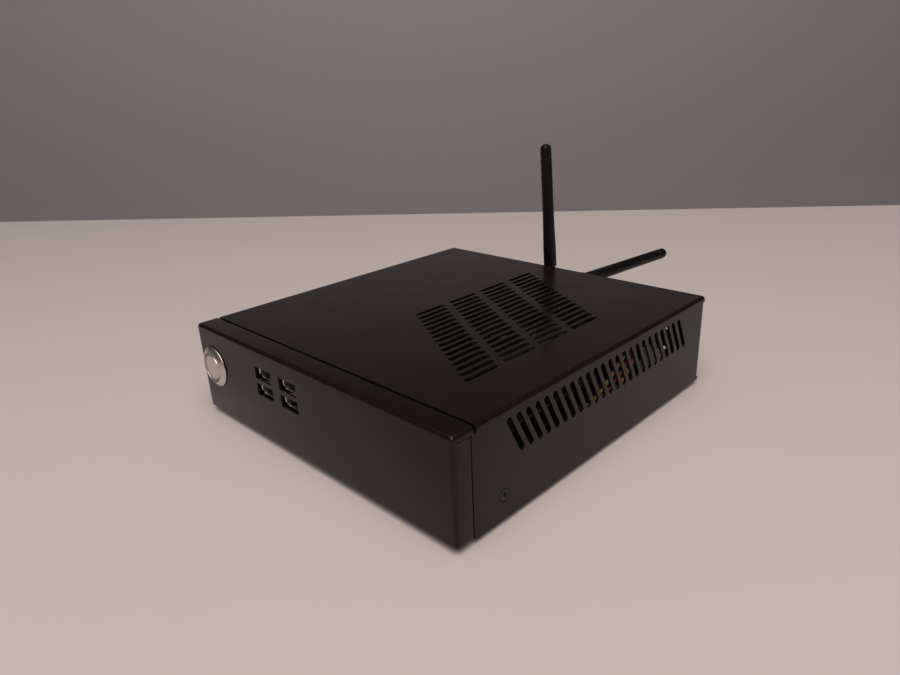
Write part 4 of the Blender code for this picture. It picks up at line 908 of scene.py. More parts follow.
def make_antenna(word):
    """Jack, coupling, knuckle with its pin, and the folding whip."""
    fold = JOINTS[f"antenna_{word}_fold"]
    hinge = (Vector(fold["pos_m"]) - CASE_AT) / MM
    swivel = math.atan2(fold["axis"][2], -fold["axis"][0])
    lean = -math.radians(fold["range_deg"][0])
    base = at(*hinge) @ Matrix.Rotation(swivel, 4, "Y")
    base_body, whip_body = f"antenna_{word}_base", f"antenna_{word}_whip_arm"
    make_jack(word, hinge)

    hole = circle(0, 0, TAB_HALF, 24)
    outline = half_disc(EAR_R, 2) + [(3.4, 7.2), (-3.4, 7.2)]
    tongue = plate(outline, [hole], -TAB_HALF, TAB_HALF, "x", 0.15)
    bm = carved(whip_shape(), tongue, operation="UNION")
    bm.transform(base @ Matrix.Rotation(-lean, 4, "X"))
    node = f"antenna_whip_{word}"
    piece(f"{node}_moulded", bm, "whip", node, whip_body, sharp=38)

    near, floor = -5.7, -4.5
    disc = [(0, near), (4.3, near), (4.7, near + 0.15), (4.8, near + 0.4), (4.8, floor - 0.15)]
    disc += [(4.65, floor), (0, floor)]
    outline = half_disc(EAR_R, -1) + [(floor - 0.6, 3.2), (floor - 0.6, -3.2)]
    ears = [plate(outline, [hole], *ends, "x", 0.25, 2) for ends in EARS_X]
    bm = carved(turned(disc, 48, "y"), *ears, operation="UNION")
    node = f"antenna_knuckle_{word}"
    piece(f"{node}_moulded", bm, "whip", node, base_body, base, sharp=38)
    pin = [(0, -4.1), (0.8, -4.1), (1.2, -3.8), (1.2, 3.8), (0.8, 4.1), (0, 4.1)]
    bm = carved(turned(pin, 28, "x"), block((3.7, -2, -0.18), (5, 2, 0.18)))
    node = f"antenna_pin_{word}"
    piece(f"{node}_turned", bm, "nickel", node, base_body, base)


def make_jack(word, hinge):
    """Threaded jack through the back panel, its hex nut and knurled coupling."""
    place = at(hinge.x, 0, hinge.z)
    node = f"antenna_jack_{word}"
    low, high = (corner.y for corner in span(node))
    inner = span("chassis")[1].y - SHEET - GAP
    pitch, radius, bore = 0.72, 3.1, 1.5
    jack = [(0, low), (1.8, low), (2.0, low + 0.2), (2.0, inner - 3.5), (4.4, inner - 3.5)]
    jack += [(4.6, inner - 3.3), (4.6, inner), (radius, inner)]
    jack += thread(radius, 0.22, inner + 0.3, pitch, int((high - inner - 0.6) / pitch))
    jack += [(3.0, high - 0.1), (2.9, high), (bore, high), (bore, high - 4), (0, high - 4)]
    piece(f"{node}_turned", turned(jack, 40, "y"), "gold", node, place=place)
    node = f"antenna_jack_nut_{word}"
    low, high = (corner.y for corner in span(node))
    nut = plate(circle(0, 0, half_width(node) * 0.998, 6), [circle(0, 0, 3.3, 32)], low, high, "y", 0.15)
    piece(f"antenna_nut_{word}", nut, "gold", node, place=place, sharp=20)
    node = f"antenna_coupling_{word}"
    low, high = (corner.y for corner in span(node))
    outer, count, deep = half_width(node), 36, 0.16
    neck = outer - 0.35

    def knurl(angle, radius):
        if radius < outer - 0.2:
            return radius
        return radius - deep * (0.5 + 0.5 * math.cos(count * angle))

    ring = [(3.4, low + 0.2), (3.6, low), (outer - 0.5, low), (neck, low + 0.15), (neck, low + 1.1)]
    ring += [(outer, low + 1.4), (outer, high - 1.0), (neck, high - 0.7), (neck, high - 0.1)]
    ring += [(outer - 0.45, high), (3.6, high), (3.4, high - 0.2)]
    bm = turned(ring, count * 4, "y", ring=True, ripple=knurl)
    piece(f"{node}_turned", bm, "gold", node, place=place)


# ---------------------------------------------------------------- mainboard
BOARD_LOW, BOARD_HIGH = span("mainboard")
BOARD_TOP = 8.3
BOARD_HOLES = [(x, y) for x in (-78.65, 78.65) for y in (31.4, 186.3)]
HEADERS = [((-76, 42), (-66, 47), 14), ((-22, 36), (-4, 41.5), 15), ((-46, 152), (-34, 158), 15)]
PLUGS = [
    ("mainboard_power_plug", "plastic", (75.5, 80), (83.5, 96), 17.5),
    ("mainboard_rear_plug", "white", (72.5, 176), (84, 183), 20.5),
]
CAPACITORS = [(COOLER.x - 47, COOLER.y + d) for d in (-28, -18, -8)]
CAPACITORS += [(COOLER.x + 47, COOLER.y + d) for d in (-30, -20, 22, 32)]
CAPACITORS += [(66, 172), (56, 172), (20, 168), (8, 168)]
COILS = [(COOLER.x + 51.5, COOLER.y - 30 + i * 11) for i in range(5)] + [(-58, 178), (-30, 178)]
CHIPS = [(-45, 50, 14, 14), (0, 46, 9, 9), (45, 38, 10, 7), (-66, 92, 9, 9)]
CHIPS += [(-66, 110, 7, 5), (60, 60, 5, 4), (-10, 178, 8, 8), (72, 110, 5, 5)]
LEG_PITCH = 0.8


def make_mainboard():
    """The board with its holes, sockets, coils, capacitors and small parts."""
    holes = [circle(*spot, 1.8, 24) for spot in BOARD_HOLES]
    outline = rounded(BOARD_LOW.x, BOARD_LOW.y, BOARD_HIGH.x, BOARD_HIGH.y, 1.0)
    bm = plate(outline, holes, BOARD_LOW.z, BOARD_TOP, edge=0.06)
    piece("mainboard_laminate", bm, "board", "mainboard")
    screws = [pan_screw(*spot, BOARD_TOP + 0.02, 2.9) for spot in BOARD_HOLES]
    piece("mainboard_screws", joined(*screws), "nickel")
    make_headers()
    for plug in PLUGS:
        make_plug(*plug)

    can = [(0, 0), (3.0, 0), (3.1, 0.8), (2.85, 1.2), (3.1, 1.6), (3.1, 7.4), (2.8, 7.8), (0, 7.8)]
    cans = [moved(turned(can, 24, "z"), *spot, BOARD_TOP) for spot in CAPACITORS]
    piece("mainboard_capacitors", joined(*cans), "can")
    bases = [slab(*spot, BOARD_TOP, 6.6, 6.6, 0.7) for spot in CAPACITORS]
    piece("mainboard_capacitor_bases", joined(*bases), "plastic")
    coils = [
        plate(centred(*spot, 7.2, 7.2, 1.2, 4), [], BOARD_TOP, BOARD_TOP + 4.6, edge=0.4, steps=2)
        for spot in COILS
    ]
    piece("mainboard_coils", joined(*coils), "ferrite")
    make_chips()
    x, y = COOLER.x, COOLER.y
    busy = [(x - 43, x + 43, y - 43, y + 43), (-54, -16, 70, 148), (-90, -64, 160, 200), (-45, 80, 172, 200)]
    parts = scattered(3, 260, (-82, 82, 30, 168), BOARD_TOP, busy)
    piece("mainboard_small_parts", joined(*parts[::2]), "tan")
    piece("mainboard_small_chips", joined(*parts[1::2]), "epoxy")
    cell = moved(turned([(0, 0), (10, 0), (10, 2.6), (9.4, 3.2), (0, 3.2)], 48, "z"), 62, 40, BOARD_TOP)
    piece("mainboard_battery", cell, "nickel", edge=0.1)


def make_headers():
    """Two rows of pins in each open shroud."""
    shrouds, pins = [], []
    wall, pitch, low = 0.9, 2, BOARD_TOP + 1
    for (x0, y0), (x1, y1), top in HEADERS:
        x, y = (x0 + x1) / 2, (y0 + y1) / 2
        hole = rounded(x0 + wall, y0 + wall, x1 - wall, y1 - wall, 0.2)
        shrouds.append(plate(rounded(x0, y0, x1, y1, 0.4), [hole], low, top, edge=0.1))
        shrouds.append(slab(x, y, BOARD_TOP, x1 - x0 - 0.3, y1 - y0 - 0.3, 1.4))
        count = int((x1 - x0 - 2.5) / pitch)
        for i in range(count + 1):
            along = x + (i - count / 2) * pitch
            pins += [slab(along, y + row, low, 0.6, 0.6, top - BOARD_TOP - 2) for row in (-1, 1)]
    piece("mainboard_headers", joined(*shrouds), "plastic")
    piece("mainboard_pins", joined(*pins), "gold")


def make_plug(name, finish, low, high, top):
    """A plug with two rows of square cells along its longer side."""
    (x0, y0), (x1, y1) = low, high
    x, y, wide, deep = (x0 + x1) / 2, (y0 + y1) / 2, x1 - x0, y1 - y0
    count = 4 if deep > wide else 3
    cells = []
    for i in range(count):
        share = (i + 0.5) / count - 0.5
        for row in (-1, 1):
            if deep > wide:
                cells.append(centred(x + row * 1.9, y + share * (deep - 1.2), 2.8, 2.8, 0.3, 3))
            else:
                cells.append(centred(x + share * (wide - 1.2), y + row * 1.6, 2.6, 2.3, 0.3, 3))
    body = plate(rounded(x0, y0, x1, y1, 0.5), cells, BOARD_TOP + 2, top, edge=0.15)
    foot = slab(x, y, BOARD_TOP, wide - 0.2, deep - 0.2, 2.2)
    piece(name, joined(body, foot), finish)


def make_chips():
    """Chips with a dimple in one corner, and legs along two sides."""
    chips, legs = [], []
    for x, y, wide, deep in CHIPS:
        dimple = circle(x - wide / 2 + 1.4, y - deep / 2 + 1.4, 0.45, 10)
        chips.append(plate(centred(x, y, wide, deep, 0.3, 2), [dimple], BOARD_TOP + 0.1, BOARD_TOP + 1.2))
        count = int(deep / LEG_PITCH)
        for i in range(count):
            along, out = y + (i - (count - 1) / 2) * LEG_PITCH, wide / 2 + 0.45
            legs += [slab(x + side * out, along, BOARD_TOP, 0.9, 0.35, 0.3) for side in (-1, 1)]
    piece("mainboard_chips", joined(*chips), "epoxy")
    piece("mainboard_chip_legs", joined(*legs), "solder")


def make_processor():
    low, high = span("processor")
    carrier = plate(rounded(low.x, low.y, high.x, high.y, 1.5), [], low.z, low.z + 3, edge=0.2)
    outline = centred(COOLER.x, COOLER.y, 32, 32, 1.2)
    lid = plate(outline, [], low.z + 2.9, high.z, edge=0.3, steps=2)
    piece("processor_lid", joined(carrier, lid), "nickel", "processor")


def make_heatsink():
    """Base plate and more, thinner fins, with chamfered tops and cut lanes."""
    low, high = span("heatsink")
    base, fins, thick = low.z + 4.0, 26, 0.9
    pitch = (high.x - low.x) / fins
    outline = [(low.x, low.z), (high.x, low.z), (high.x, base)]
    for i in reversed(range(fins)):
        left = low.x + i * pitch + (pitch - thick) / 2
        right = left + thick
        outline += [(right + 0.25, base), (right, base + 0.4), (right - 0.1, high.z)]
        outline += [(left + 0.1, high.z), (left, base + 0.4), (left - 0.25, base)]
    outline.append((low.x, base))
    lane = block((low.x - 1, COOLER.y - 2.5, base + 6), (high.x + 1, COOLER.y + 2.5, high.z + 1))
    bm = carved(prism(outline, low.y, high.y, "y"), lane)
    piece("heatsink_extrusion", bm, "fins", "heatsink", sharp=20)


# ----------------------------------------------------------------------- fan
FAN_BORE_R, FAN_BLADE_R, FAN_HUB_R, FAN_BLADES = 38.2, 37.0, 13.0, 7


def make_fan():
    """Square frame with four arms, and the rotor that turns in it."""
    low, high = span("fan_frame")
    place = at(COOLER.x, COOLER.y)
    half = half_width("fan_frame")
    bore = circle(0, 0, FAN_BORE_R, 96)
    off = half - 4.3
    corners = [circle(dx * off, dy * off, 2.1, 20) for dx in (-1, 1) for dy in (-1, 1)]
    outer = centred(0, 0, 2 * half, 2 * half, 4.0, 8)
    waist = centred(0, 0, 2 * half - 1.2, 2 * half - 1.2, 9, 8)
    shapes = [plate(waist, [bore], low.z + 3.4, high.z - 3.4, edge=0.05)]
    for a, b in ((low.z, low.z + 3.5), (high.z - 3.5, high.z)):
        shapes.append(plate(outer, [bore] + corners, a, b, edge=0.35, steps=2))
    for i in range(4):
        arm = block((12.0, -1.1, low.z + 0.1), (FAN_BORE_R + 0.8, 1.1, low.z + 2.1))
        bmesh.ops.rotate(arm, verts=arm.verts, matrix=Matrix.Rotation(math.pi / 2 * i + 0.18, 3, "Z"))
        shapes.append(arm)
    hub = [(0, 0), (13.2, 0), (13.5, 0.3), (13.5, 2.2), (0, 2.2)]
    shapes.append(moved(turned(hub, 64, "z"), z=low.z))
    piece("fan_frame_moulded", joined(*shapes), "plastic", "fan_frame", place=place)

    low, high = span("fan_rotor")
    radius, under, top = FAN_HUB_R, low.z + 2.3, high.z
    hub = [(0, under), (radius - 0.3, under), (radius, under + 0.3), (radius, top - 1.6)]
    hub += [(radius - 0.4, top - 0.6), (radius - 1.6, top - 0.05), (radius - 2.2, top)]
    hub += [(7.6, top), (7.5, top - 0.12), (7.3, top - 0.12), (7.2, top), (0, top)]
    shapes = [turned(hub, 72, "z")]
    shapes += [fan_blade(2 * math.pi * i / FAN_BLADES, under, top) for i in range(FAN_BLADES)]
    bm, node = joined(*shapes), "fan_rotor"
    piece("fan_rotor_moulded", bm, "plastic", node, "cpu_fan_rotor", place, sharp=45)


def fan_blade(start, low, high):
    """A cambered, swept blade of even thickness."""
    stations, chords, thick = 7, 9, 0.9
    root = FAN_HUB_R - 0.6
    rings = []
    for s in range(stations):
        share = s / (stations - 1)
        radius = root + (FAN_BLADE_R - root) * share
        upper, lower = [], []
        for c in range(chords):
            along = 2 * c / (chords - 1) - 1
            angle = start + 0.22 * share**1.5 + (0.32 - 0.03 * share) * along
            z = low + 0.8 + (high - low - 3.2) * (along + 1) / 2 + 0.9 * (1 - along * along)
            thin = thick * (1 - 0.65 * abs(along) ** 3)
            x, y = radius * math.cos(angle), radius * math.sin(angle)
            upper.append((x, y, z + thin / 2))
            lower.append((x, y, z - thin / 2))
        rings.append(upper + lower[::-1])
    return skin(rings, strips=True)


# ------------------------------------------------------- memory and wireless
def make_memory():
    low, high = span("memory_socket")
    notch = block((low.x - 3, low.y + 3, 11.3), (high.x - 4, high.y - 3, 13.2))
    bm, node = carved(block(low, high), notch), "memory_socket"
    piece("memory_socket_moulded", bm, "plastic", node, edge=0.25, sharp=30)
    low, high = span("memory_module")
    outline = rounded(low.x, low.y, high.x, high.y, 0.8)
    board = plate(outline, [slot(low.x + 3.2, low.y + 22, 2.2, 2.8)], 11.6, 12.8, edge=0.06)
    piece("memory_board", board, "board", "memory_module")
    chips = [plate(rounded(-48, y, -34, y + 10, 0.3, 2), [], 12.8, 13.9) for y in (79, 93, 115, 129)]
    piece("memory_chips", joined(*chips), "epoxy")
    pads = [slab(high.x - 1.6, low.y + 2 + i * 0.9, 12.72, 3.0, 0.55, 0.12) for i in range(70)]
    piece("memory_contacts", joined(*pads), "gold")


def make_wireless():
    low, high = span("wireless_card")
    hole = circle((low.x + high.x) / 2, low.y + 1.4, 1.2, 20)
    base = plate(rounded(low.x, low.y, high.x, high.y, 0.6), [hole], low.z, low.z + 0.9, edge=0.06)
    piece("wireless_board", base, "board", "wireless_card")
    dimple = circle(-69, 134, 0.5, 12)
    shield = plate(rounded(-71, 132, -55, 148, 0.8), [dimple], low.z + 0.85, high.z, edge=0.2, steps=2)
    piece("wireless_shield", shield, "nickel")
    post = [(0, -1.2), (1.1, -1.2), (1.1, 0.2), (0.8, 0.4), (0, 0.4)]
    posts = [moved(turned(post, 20, "z"), x, 154.5, high.z) for x in (-64, -58)]
    piece("wireless_terminals", joined(*posts), "gold")


# ------------------------------------------------------------- back sockets
IO_FACE = span("lan_port")[1].y
IO_NODES = ("dc_jack", "hdmi_port", "lan_port", "audio_jacks", "back_usb_left_shell", "back_usb_right_shell")
SHIELD_VENTS = [slot(x, 27.4, 1.6, 3.6, math.pi / 2) for x in (66.5, 71.5, 76.5)]
SHIELD_VENTS.append(rounded(74.6, 14.4, 78.2, 16.0, 0.7))
AUDIO_X = 3.6


def make_shield():
    """Pressed shield with a raised rim round each opening, vents and studs."""
    low, high = span("io_shield")
    openings, rims = [], []
    for node in IO_NODES:
        a, b = span(node)
        openings.append(rounded(a.x - 0.35, a.z - 0.35, b.x + 0.35, b.z + 0.35, 0.5, 3))
        under = a.z - 0.4 if a.z < low.z + 3.3 else a.z - 1.5
        outer = rounded(a.x - 1.5, under, b.x + 1.5, b.z + 1.5, 1.2, 4)
        rims.append(plate(outer, [openings[-1]], high.y - 0.2, high.y + 0.18, "y", 0.1))
    outline = rounded(low.x, low.z, high.x, high.z, 1.5)
    sheet = plate(outline, openings + SHIELD_VENTS, low.y, high.y - 0.05, "y", 0.12)
    stud, count = [(0, 0), (0.9, 0), (0.75, 0.3), (0, 0.4)], 13
    for i in range(count):
        x = low.x + 6 + i * (high.x - low.x - 12) / (count - 1)
        rims.append(moved(turned(stud, 16, "y"), x, high.y - 0.1, high.z - 1.1))
    piece("io_shield_pressed", joined(sheet, *rims), "zinc", "io_shield")


def make_lan():
    """Network socket with eight sprung contacts and two lights."""
    low, high = span("lan_port")
    x, base, deep, out = (low.x + high.x) / 2, low.z, IO_FACE - 14, IO_FACE + 2
    bm = carved(
        block(low, high),
        block((x - 5.95, deep, base + 1.9), (x + 5.95, out, base + 10.1)),
        block((x - 3.1, deep, base + 0.9), (x + 3.1, out, base + 3.5)),
    )
    piece("lan_shell", bm, "nickel", "lan_port", edge=0.12, sharp=30)
    line = [(IO_FACE - 1.6, base + 9.9), (IO_FACE - 2.4, base + 9.6), (IO_FACE - 9, base + 6.8)]
    spots = [x + (i - 3.5) * 1.02 for i in range(8)]
    wires = [ribbon_prism(line, 0.35, spot - 0.22, spot + 0.22, "x") for spot in spots]
    piece("lan_contacts", joined(*wires), "gold")
    outlines = [rounded(spot - 1.2, base + 11.3, spot + 1.2, base + 12.6, 0.3, 2) for spot in (x - 5, x + 5)]
    lights = [plate(outline, [], IO_FACE - 0.4, IO_FACE + 0.1, "y", 0.06) for outline in outlines]
    piece("lan_lights", joined(*lights), "lens")


def make_display_socket():
    spot, (low, high) = middle("hdmi_port"), span("hdmi_port")
    half = [(5.6, -2.4), (7.0, -0.9), (7.0, 2.4)]
    corners = half + [(-x, z) for x, z in reversed(half)]
    mouth = filleted([(spot.x + x, spot.z + z) for x, z in corners], 0.5, 3)
    bm = carved(block(low, high), prism(mouth, IO_FACE - 9, IO_FACE + 1, "y"))
    piece("hdmi_shell", bm, "nickel", "hdmi_port", edge=0.1, sharp=35)
    outline = centred(spot.x, spot.z + 0.4, 11.0, 1.2, 0.2, 2)
    tongue = plate(outline, [], IO_FACE - 9.5, IO_FACE - 1, "y", 0.1)
    piece("hdmi_tongue", tongue, "plastic")


def make_power_socket():
    spot, (low, high) = middle("dc_jack"), span("dc_jack")
    bm = carved(block(low, high), rod(spot.x, spot.z, 3.2, IO_FACE - 10, IO_FACE + 1, "y", 40))
    piece("dc_jack_body", bm, "plastic", "dc_jack", edge=0.2, sharp=30)
    back, front = IO_FACE - 9.8, IO_FACE - 0.5
    liner = turned([(2.9, back), (3.15, back), (3.15, front), (2.9, front)], 40, "y", ring=True)
    pin = [(0, IO_FACE - 10.5), (1.1, IO_FACE - 10.5), (1.1, IO_FACE - 2.0), (0.7, IO_FACE - 1.3)]
    pin.append((0, IO_FACE - 1.2))
    contacts = moved(joined(liner, turned(pin, 24, "y")), spot.x, 0, spot.z)
    piece("dc_jack_contacts", contacts, "nickel")


def make_audio():
    """Two round sockets, each with a coloured ring."""
    spot, (low, high) = middle("audio_jacks"), span("audio_jacks")
    places = ((spot.x - AUDIO_X, "green_ring"), (spot.x + AUDIO_X, "pink_ring"))
    bores = [rod(x, spot.z, 2.95, IO_FACE - 11, IO_FACE + 3, "y", 32) for x, _ in places]
    bm = carved(block(low, (high.x, high.y - 0.8, high.z)), *bores)
    piece("audio_body", bm, "plastic", "audio_jacks", edge=0.2, sharp=30)
    back, front = IO_FACE - 10, high.y
    ring = [(1.8, back), (2.9, back), (2.9, front - 0.25), (2.65, front), (2.1, front), (1.8, front - 0.3)]
    for x, name in places:
        bm = turned(ring, 40, "y", ring=True)
        piece(f"audio_{name}", bm, name, place=at(x, 0, spot.z))


# ---------------------------------------------------------- drive and leads
DRIVE_SOCKET = ((-74.0, 134.0, 31.5), (-38.0, 145.0, 35.5))
DRIVE_PLUGS = ((-73.4, -51.6), (-50.4, -38.6))
BRACKET_Y, FRONT_LEG_X, FRONT_LEG_Y, SIDE_LEG_Y = 38.0, (-67, -56), 24.4, (60, 120)


def make_drive():
    """Drive with a groove along each end of its lid, its plugs and its bracket."""
    low, high = span("solid_state_drive")
    body = plate(rounded(low.x, low.y, high.x, high.y, 1.6), [], low.z, high.z, edge=0.35, steps=2)
    left, right, under, over = low.x + 1.9, high.x - 1.9, high.z - 0.28, high.z + 1
    ends = ((low.y + 1.9, low.y + 2.15), (high.y - 2.15, high.y - 1.9))
    grooves = joined(*[block((left, a, under), (right, b, over)) for a, b in ends])
    bm = carved(body, block(*DRIVE_SOCKET), grooves)
    piece("drive_shell", bm, "drive", "solid_state_drive")
    tongues = [block((a, 134.1, 33.0), (b, 137.6, 34.2)) for a, b in ((-72.5, -52), (-50, -39.5))]
    piece("drive_tongues", joined(*tongues), "plastic", edge=0.1)
    for number, (a, b) in enumerate(DRIVE_PLUGS):
        nose = plate(rounded(a + 0.4, 31.8, b - 0.4, 35.2, 0.4, 3), [], 137.2, 139.0, "y", 0.1)
        grip = plate(rounded(a, 31.2, b, 36.0, 0.7, 3), [], 138.9, 143.5, "y", 0.3, 2)
        piece(f"drive_plug_{number + 1}", joined(nose, grip), "plastic")

    low, high = span("drive_bracket")
    shelf = high.z - SHEET
    (left, right), front = FRONT_LEG_X, FRONT_LEG_Y
    corners = [(low.x, high.y), (low.x, BRACKET_Y), (left - 2, BRACKET_Y), (left - 2, front)]
    corners += [(right + 2, front), (right + 2, BRACKET_Y), (high.x, BRACKET_Y), (high.x, high.y)]
    outline = filleted(corners, [1.5, 1.0, 0.5, 0.8, 0.8, 0.5, 1.0, 1.5])
    holes = [slot(x, 88, 5, 60) for x in (-75, -56, -37)]
    top = plate(outline, holes, shelf, high.z, edge=0.1)
    back_low, back_high = SIDE_LEG_Y
    legs = [
        block((low.x, back_low, low.z), (low.x + SHEET, back_high, shelf + GAP)),
        block((low.x, back_low, low.z), (low.x + 6.5, back_high, low.z + SHEET)),
        block((left, front, low.z), (right, front + SHEET, shelf + GAP)),
        block((left, 17.9, low.z), (right, front + SHEET, low.z + SHEET)),
    ]
    bm, node = carved(top, *legs, operation="UNION"), "drive_bracket"
    piece("drive_bracket_folded", bm, "zinc", node, edge=0.1, sharp=50)


# Each station of the harness: its middle, half its width, and its broad side
HARNESS = [
    ((79.5, 97.0, 13.0), 3.2, (1, 0, 0)),
    ((80.0, 100.8, 13.5), 3.4, (1, 0, 0.15)),
    ((84.6, 106.5, 17.0), 4.6, (0.6, -0.25, 0.75)),
    ((88.6, 113.5, 22.0), 5.8, (0.1, -0.42, 0.9)),
    ((89.2, 123.0, 27.5), 6.2, (0, -0.43, 0.9)),
    ((88.8, 133.0, 33.0), 6.0, (0, -0.43, 0.9)),
    ((86.5, 142.0, 37.4), 5.2, (0, -0.3, 0.95)),
    ((80.5, 150.5, 40.0), 4.5, (0, 0, 1)),
    ((70.0, 157.5, 40.8), 4.2, (0, 0, 1)),
    ((52.0, 162.0, 40.6), 4.0, (0, 0, 1)),
    ((30.0, 164.5, 40.3), 4.0, (0, 0, 1)),
    ((5.0, 165.0, 40.0), 4.0, (0, 0, 1)),
    ((-25.0, 163.0, 39.5), 4.0, (0, 0, 1)),
    ((-48.0, 157.5, 38.0), 4.0, (0.1, 0, 1)),
    ((-60.0, 151.5, 36.0), 4.0, (0.4, -0.1, 0.9)),
    ((-65.2, 145.0, 34.2), 4.0, (0.8, 0, 0.6)),
    ((-66.0, 138.6, 33.5), 4.0, (1, 0, 0)),
]
HARNESS_STEPS = 8
SLEEVE = slice(7 * HARNESS_STEPS, 15 * HARNESS_STEPS)
WIRES = ("yellow", "black", "red", "black", "orange")
WIRE_R, WIRE_OFF, SWAY = 0.85, 0.55, 0.25


def make_harness():
    """Five separate wires side by side along the flat route, then in a sleeve."""
    spots = smooth_path([spot for spot, _, _ in HARNESS], HARNESS_STEPS)
    halves = smooth_path([(half, 0, 0) for _, half, _ in HARNESS], HARNESS_STEPS)
    wides = smooth_path([wide for _, _, wide in HARNESS], HARNESS_STEPS)
    places = []
    for i, (spot, wide) in enumerate(zip(spots, wides)):
        along = heading(spots, i)
        wide = (wide - along * wide.dot(along)).normalized()
        places.append((spot, wide, along.cross(wide)))
    for number, colour in enumerate(WIRES):
        share, off = 1 - number / 2, WIRE_OFF * (-1) ** number
        line = []
        for i, ((spot, wide, up), half) in enumerate(zip(places, halves)):
            sway = SWAY * math.sin(i * 0.23 + number * 2.1)
            line.append(spot + wide * (share * (half.x - WIRE_R) + sway) + up * off)
        bm = swept(frames(line), circle(0, 0, WIRE_R, 12))
        stands = "drive_power_harness" if number == 0 else ()
        piece(f"harness_wire_{number + 1}_{colour}", bm, colour, stands)
    sleeve = swept(places[SLEEVE], superellipse(4.7, 1.9, 2.4, 28))
    piece("harness_sleeve", sleeve, "jacket", sharp=60)
    plug = plate(rounded(75.7, 9.0, 83.3, 17.2, 0.6), [], 96.1, 99.5, "y", 0.2)
    piece("harness_board_plug", plug, "plastic")


# Each lead's radius and route
LEADS = {
    "drive_data_lead": (
        1.5,
        [(-44, 138.6, 33.5), (-44, 143, 33), (-42, 150, 27), (-40, 154.6, 20), (-40, 155, 15.4)],
    ),
    "front_panel_lead": (
        1.5,
        [(-82, 33.5, 28.5), (-81, 36, 26), (-77, 41, 20), (-72, 44.5, 17), (-71.8, 44.6, 14.4)],
    ),
    "front_usb_lead": (1.7, [(-24, 26.5, 24.2), (-22, 31, 24), (-14, 38, 20), (-13, 38.6, 15.6)]),
    "antenna_lead_left": (
        0.8,
        [(-19.25, 190.4, 39), (-21.25, 184, 36.5), (-31.25, 176, 28)]
        + [(-52, 168, 18), (-62, 160, 13), (-64, 155.5, 12.4)],
    ),
    "antenna_lead_right": (
        0.8,
        [(5.3, 190.4, 39), (3.3, 184, 36.5), (-12.7, 176, 28)]
        + [(-46, 165, 18), (-56, 160, 13), (-58, 155.5, 12.4)],
    ),
}
LEAD_PLUGS = [
    (-40, 155, 12.5, 10.5, 4.6, 4.2),
    (-71.8, 44.5, 11.5, 8.6, 3.6, 4.0),
    (-13, 38.7, 12.4, 16.4, 4.0, 4.2),
]


def make_leads():
    for name, (radius, route) in LEADS.items():
        bm = swept(frames(smooth_path(route, 8)), circle(0, 0, radius, 16))
        piece(f"{name}_jacket", bm, "jacket", name)
    plugs = [slab(*plug) for plug in LEAD_PLUGS]
    piece("lead_plugs", joined(*plugs), "plastic", edge=0.3)


# ---------------------------------------------------------------- the stage
AZIMUTH, ELEVATION, ROLL = (math.radians(turn) for turn in (45.2, 21.56, -2.74))
EYE = CASE_AT + Vector((-HALF_WIDTH + 343.03, -147.38, 171.71)) * MM
LENS, SENSOR = 27.12, 36.0
TABLE_EDGE = CASE_AT + Vector((-372.0, 477.7, 0)) * MM
TABLE_TURN = math.radians(36.84)
WALL_AWAY = 1.9
WARM = (1.0, 0.86, 0.79)
LIGHT_AT, LIGHT_AIM, LIGHT_SIDE, LIGHT_POWER = Vector((0.7, -0.85, 1.65)), Vector((0, -0.02, 0)), 1.8, 31


def make_camera():
    data = bpy.data.cameras.new("camera")
    data.lens = LENS
    data.sensor_width = SENSOR
    data.clip_start = 0.01
    camera = bpy.data.objects.new("camera", data)
    bpy.context.scene.collection.objects.link(camera)
    place = Matrix.Translation(EYE)
    for turn, axis in ((AZIMUTH, "Z"), (math.pi / 2 - ELEVATION, "X"), (ROLL, "Z")):
        place = place @ Matrix.Rotation(turn, 4, axis)
    camera.matrix_world = place
    bpy.context.scene.camera = camera


def stage_sheet(name, middle_at, across, along, sides, ends, surface):
    """A flat sheet of the surroundings, spread from a point along two directions."""
    bm = bmesh.new()
    corners = [(sides[0], ends[0]), (sides[1], ends[0]), (sides[1], ends[1]), (sides[0], ends[1])]
    bm.faces.new([bm.verts.new(middle_at + across * a + along * b) for a, b in corners])
    mesh = bpy.data.meshes.new(name)
    bm.to_mesh(mesh)
    bm.free()
    mesh.materials.append(surface)
    made = bpy.data.objects.new(name, mesh)
    bpy.context.scene.collection.objects.link(made)


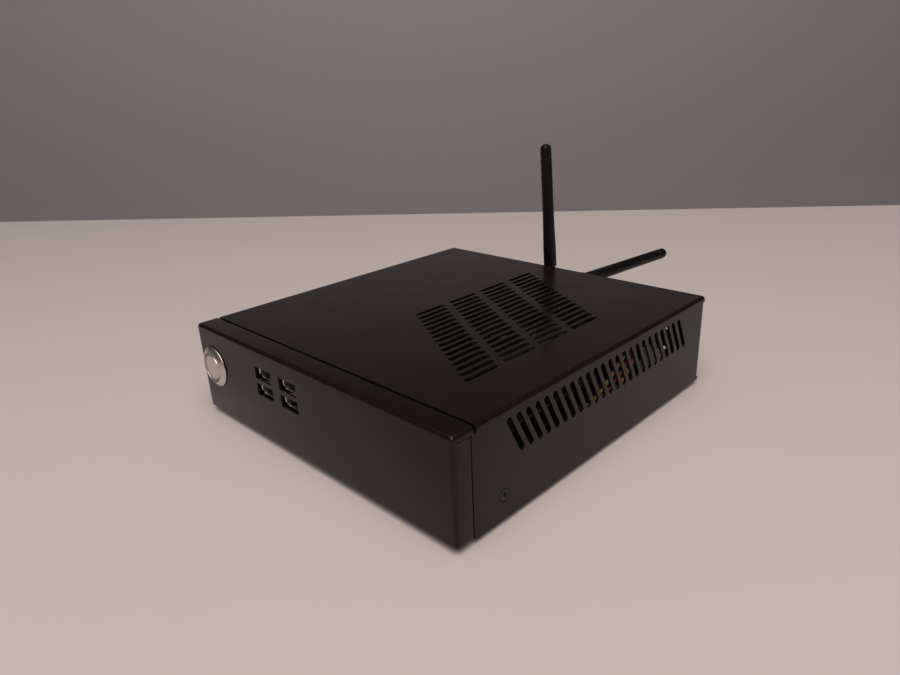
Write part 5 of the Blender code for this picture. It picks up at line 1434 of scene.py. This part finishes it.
def make_stage():
    """A pale table whose far edge crosses the view, and a dull wall well behind, with shade painted into the
    wall's colour.
    """
    table = Surface("pale_table", (0.66, 0.645, 0.64), 0.55, Specular_IOR_Level=0.3)
    table.tint(table.noise(6, 3), 0.97, 1.03)
    edge = Vector((math.cos(TABLE_TURN), math.sin(TABLE_TURN), 0))
    start = Vector((*TABLE_EDGE.xy, 0))
    stage_sheet("table", start, edge, Vector((edge.y, -edge.x, 0)), (-3, 3), (0, 4), table.made)

    wall = Surface("wall_with_painted_shade", (0.64, 0.63, 0.64), 0.85)
    far = wall.add("ShaderNodeVectorMath", operation_="LENGTH", i0=wall.spot).outputs["Value"]
    high = wall.add("ShaderNodeSeparateXYZ", i0=wall.spot).outputs["Z"]
    # Painted shade on the wall: darker further from the scene's origin, where the case stands, darker
    # towards the top, and darker below the table's height, where it shows as a dark strip just above the
    # table edge.
    shade = wall.mixed(wall.ranged(far, 0.0, 1.0, 0.0, 2.2), wall.colour, (0.45, 0.44, 0.45))
    shade = wall.mixed(wall.ranged(high, 0.0, 1.0, 0.36, 1.1), shade, (0.08, 0.08, 0.08))
    shade = wall.mixed(wall.ranged(high, 1.0, 0.0, -0.17, -0.14), shade, (0.5, 0.49, 0.5))
    wall.link(shade, "Base Color")
    ahead = Vector((-math.sin(AZIMUTH), math.cos(AZIMUTH), 0))
    foot = Vector((EYE.x, EYE.y, 0)) + ahead * WALL_AWAY
    across = Vector((ahead.y, -ahead.x, 0))
    stage_sheet("wall", foot, across, Vector((0, 0, 1)), (-6, 6), (-3, 3), wall.made)


def make_light():
    """One wide lamp above the camera, and a room that is bright only overhead."""
    data = bpy.data.lights.new("ceiling", "AREA")
    data.shape = "RECTANGLE"
    data.size = data.size_y = LIGHT_SIDE
    data.energy = LIGHT_POWER
    data.color = WARM
    light = bpy.data.objects.new("ceiling", data)
    bpy.context.scene.collection.objects.link(light)
    light.location = LIGHT_AT
    light.rotation_euler = (LIGHT_AIM - LIGHT_AT).to_track_quat("-Z", "Y").to_euler()

    world = bpy.data.worlds.new("room")
    world.use_nodes = True
    tree = world.node_tree
    background = tree.nodes["Background"]
    background.inputs["Color"].default_value = (*WARM, 1)
    sky = tree.nodes.new("ShaderNodeTexCoord")
    split = tree.nodes.new("ShaderNodeSeparateXYZ")
    ramp = tree.nodes.new("ShaderNodeMapRange")
    ramp.interpolation_type = "SMOOTHSTEP"
    for name, value in (("From Min", 0.74), ("From Max", 1.0), ("To Min", 0.08), ("To Max", 0.9)):
        ramp.inputs[name].default_value = value
    tree.links.new(sky.outputs["Generated"], split.inputs[0])
    tree.links.new(split.outputs["Z"], ramp.inputs["Value"])
    tree.links.new(ramp.outputs["Result"], background.inputs["Strength"])
    bpy.context.scene.world = world
    bpy.context.scene.view_settings.view_transform = "Standard"


# --------------------------------------------------------------------- build
dress("chassis", "coat", 0.12)
make_bezel()
make_cover()
make_seam_strip()
make_screws()
make_feet()
make_button()
for stack in ("front_usb_left", "front_usb_right", "back_usb_left", "back_usb_right"):
    make_stack(stack, stack.startswith("back"))
make_front_board()
make_mainboard()
make_processor()
make_heatsink()
make_fan()
make_memory()
make_wireless()
make_shield()
make_lan()
make_display_socket()
make_power_socket()
make_audio()
make_antenna("left")
make_antenna("right")
make_drive()
make_harness()
make_leads()
make_stage()
make_light()
make_camera()
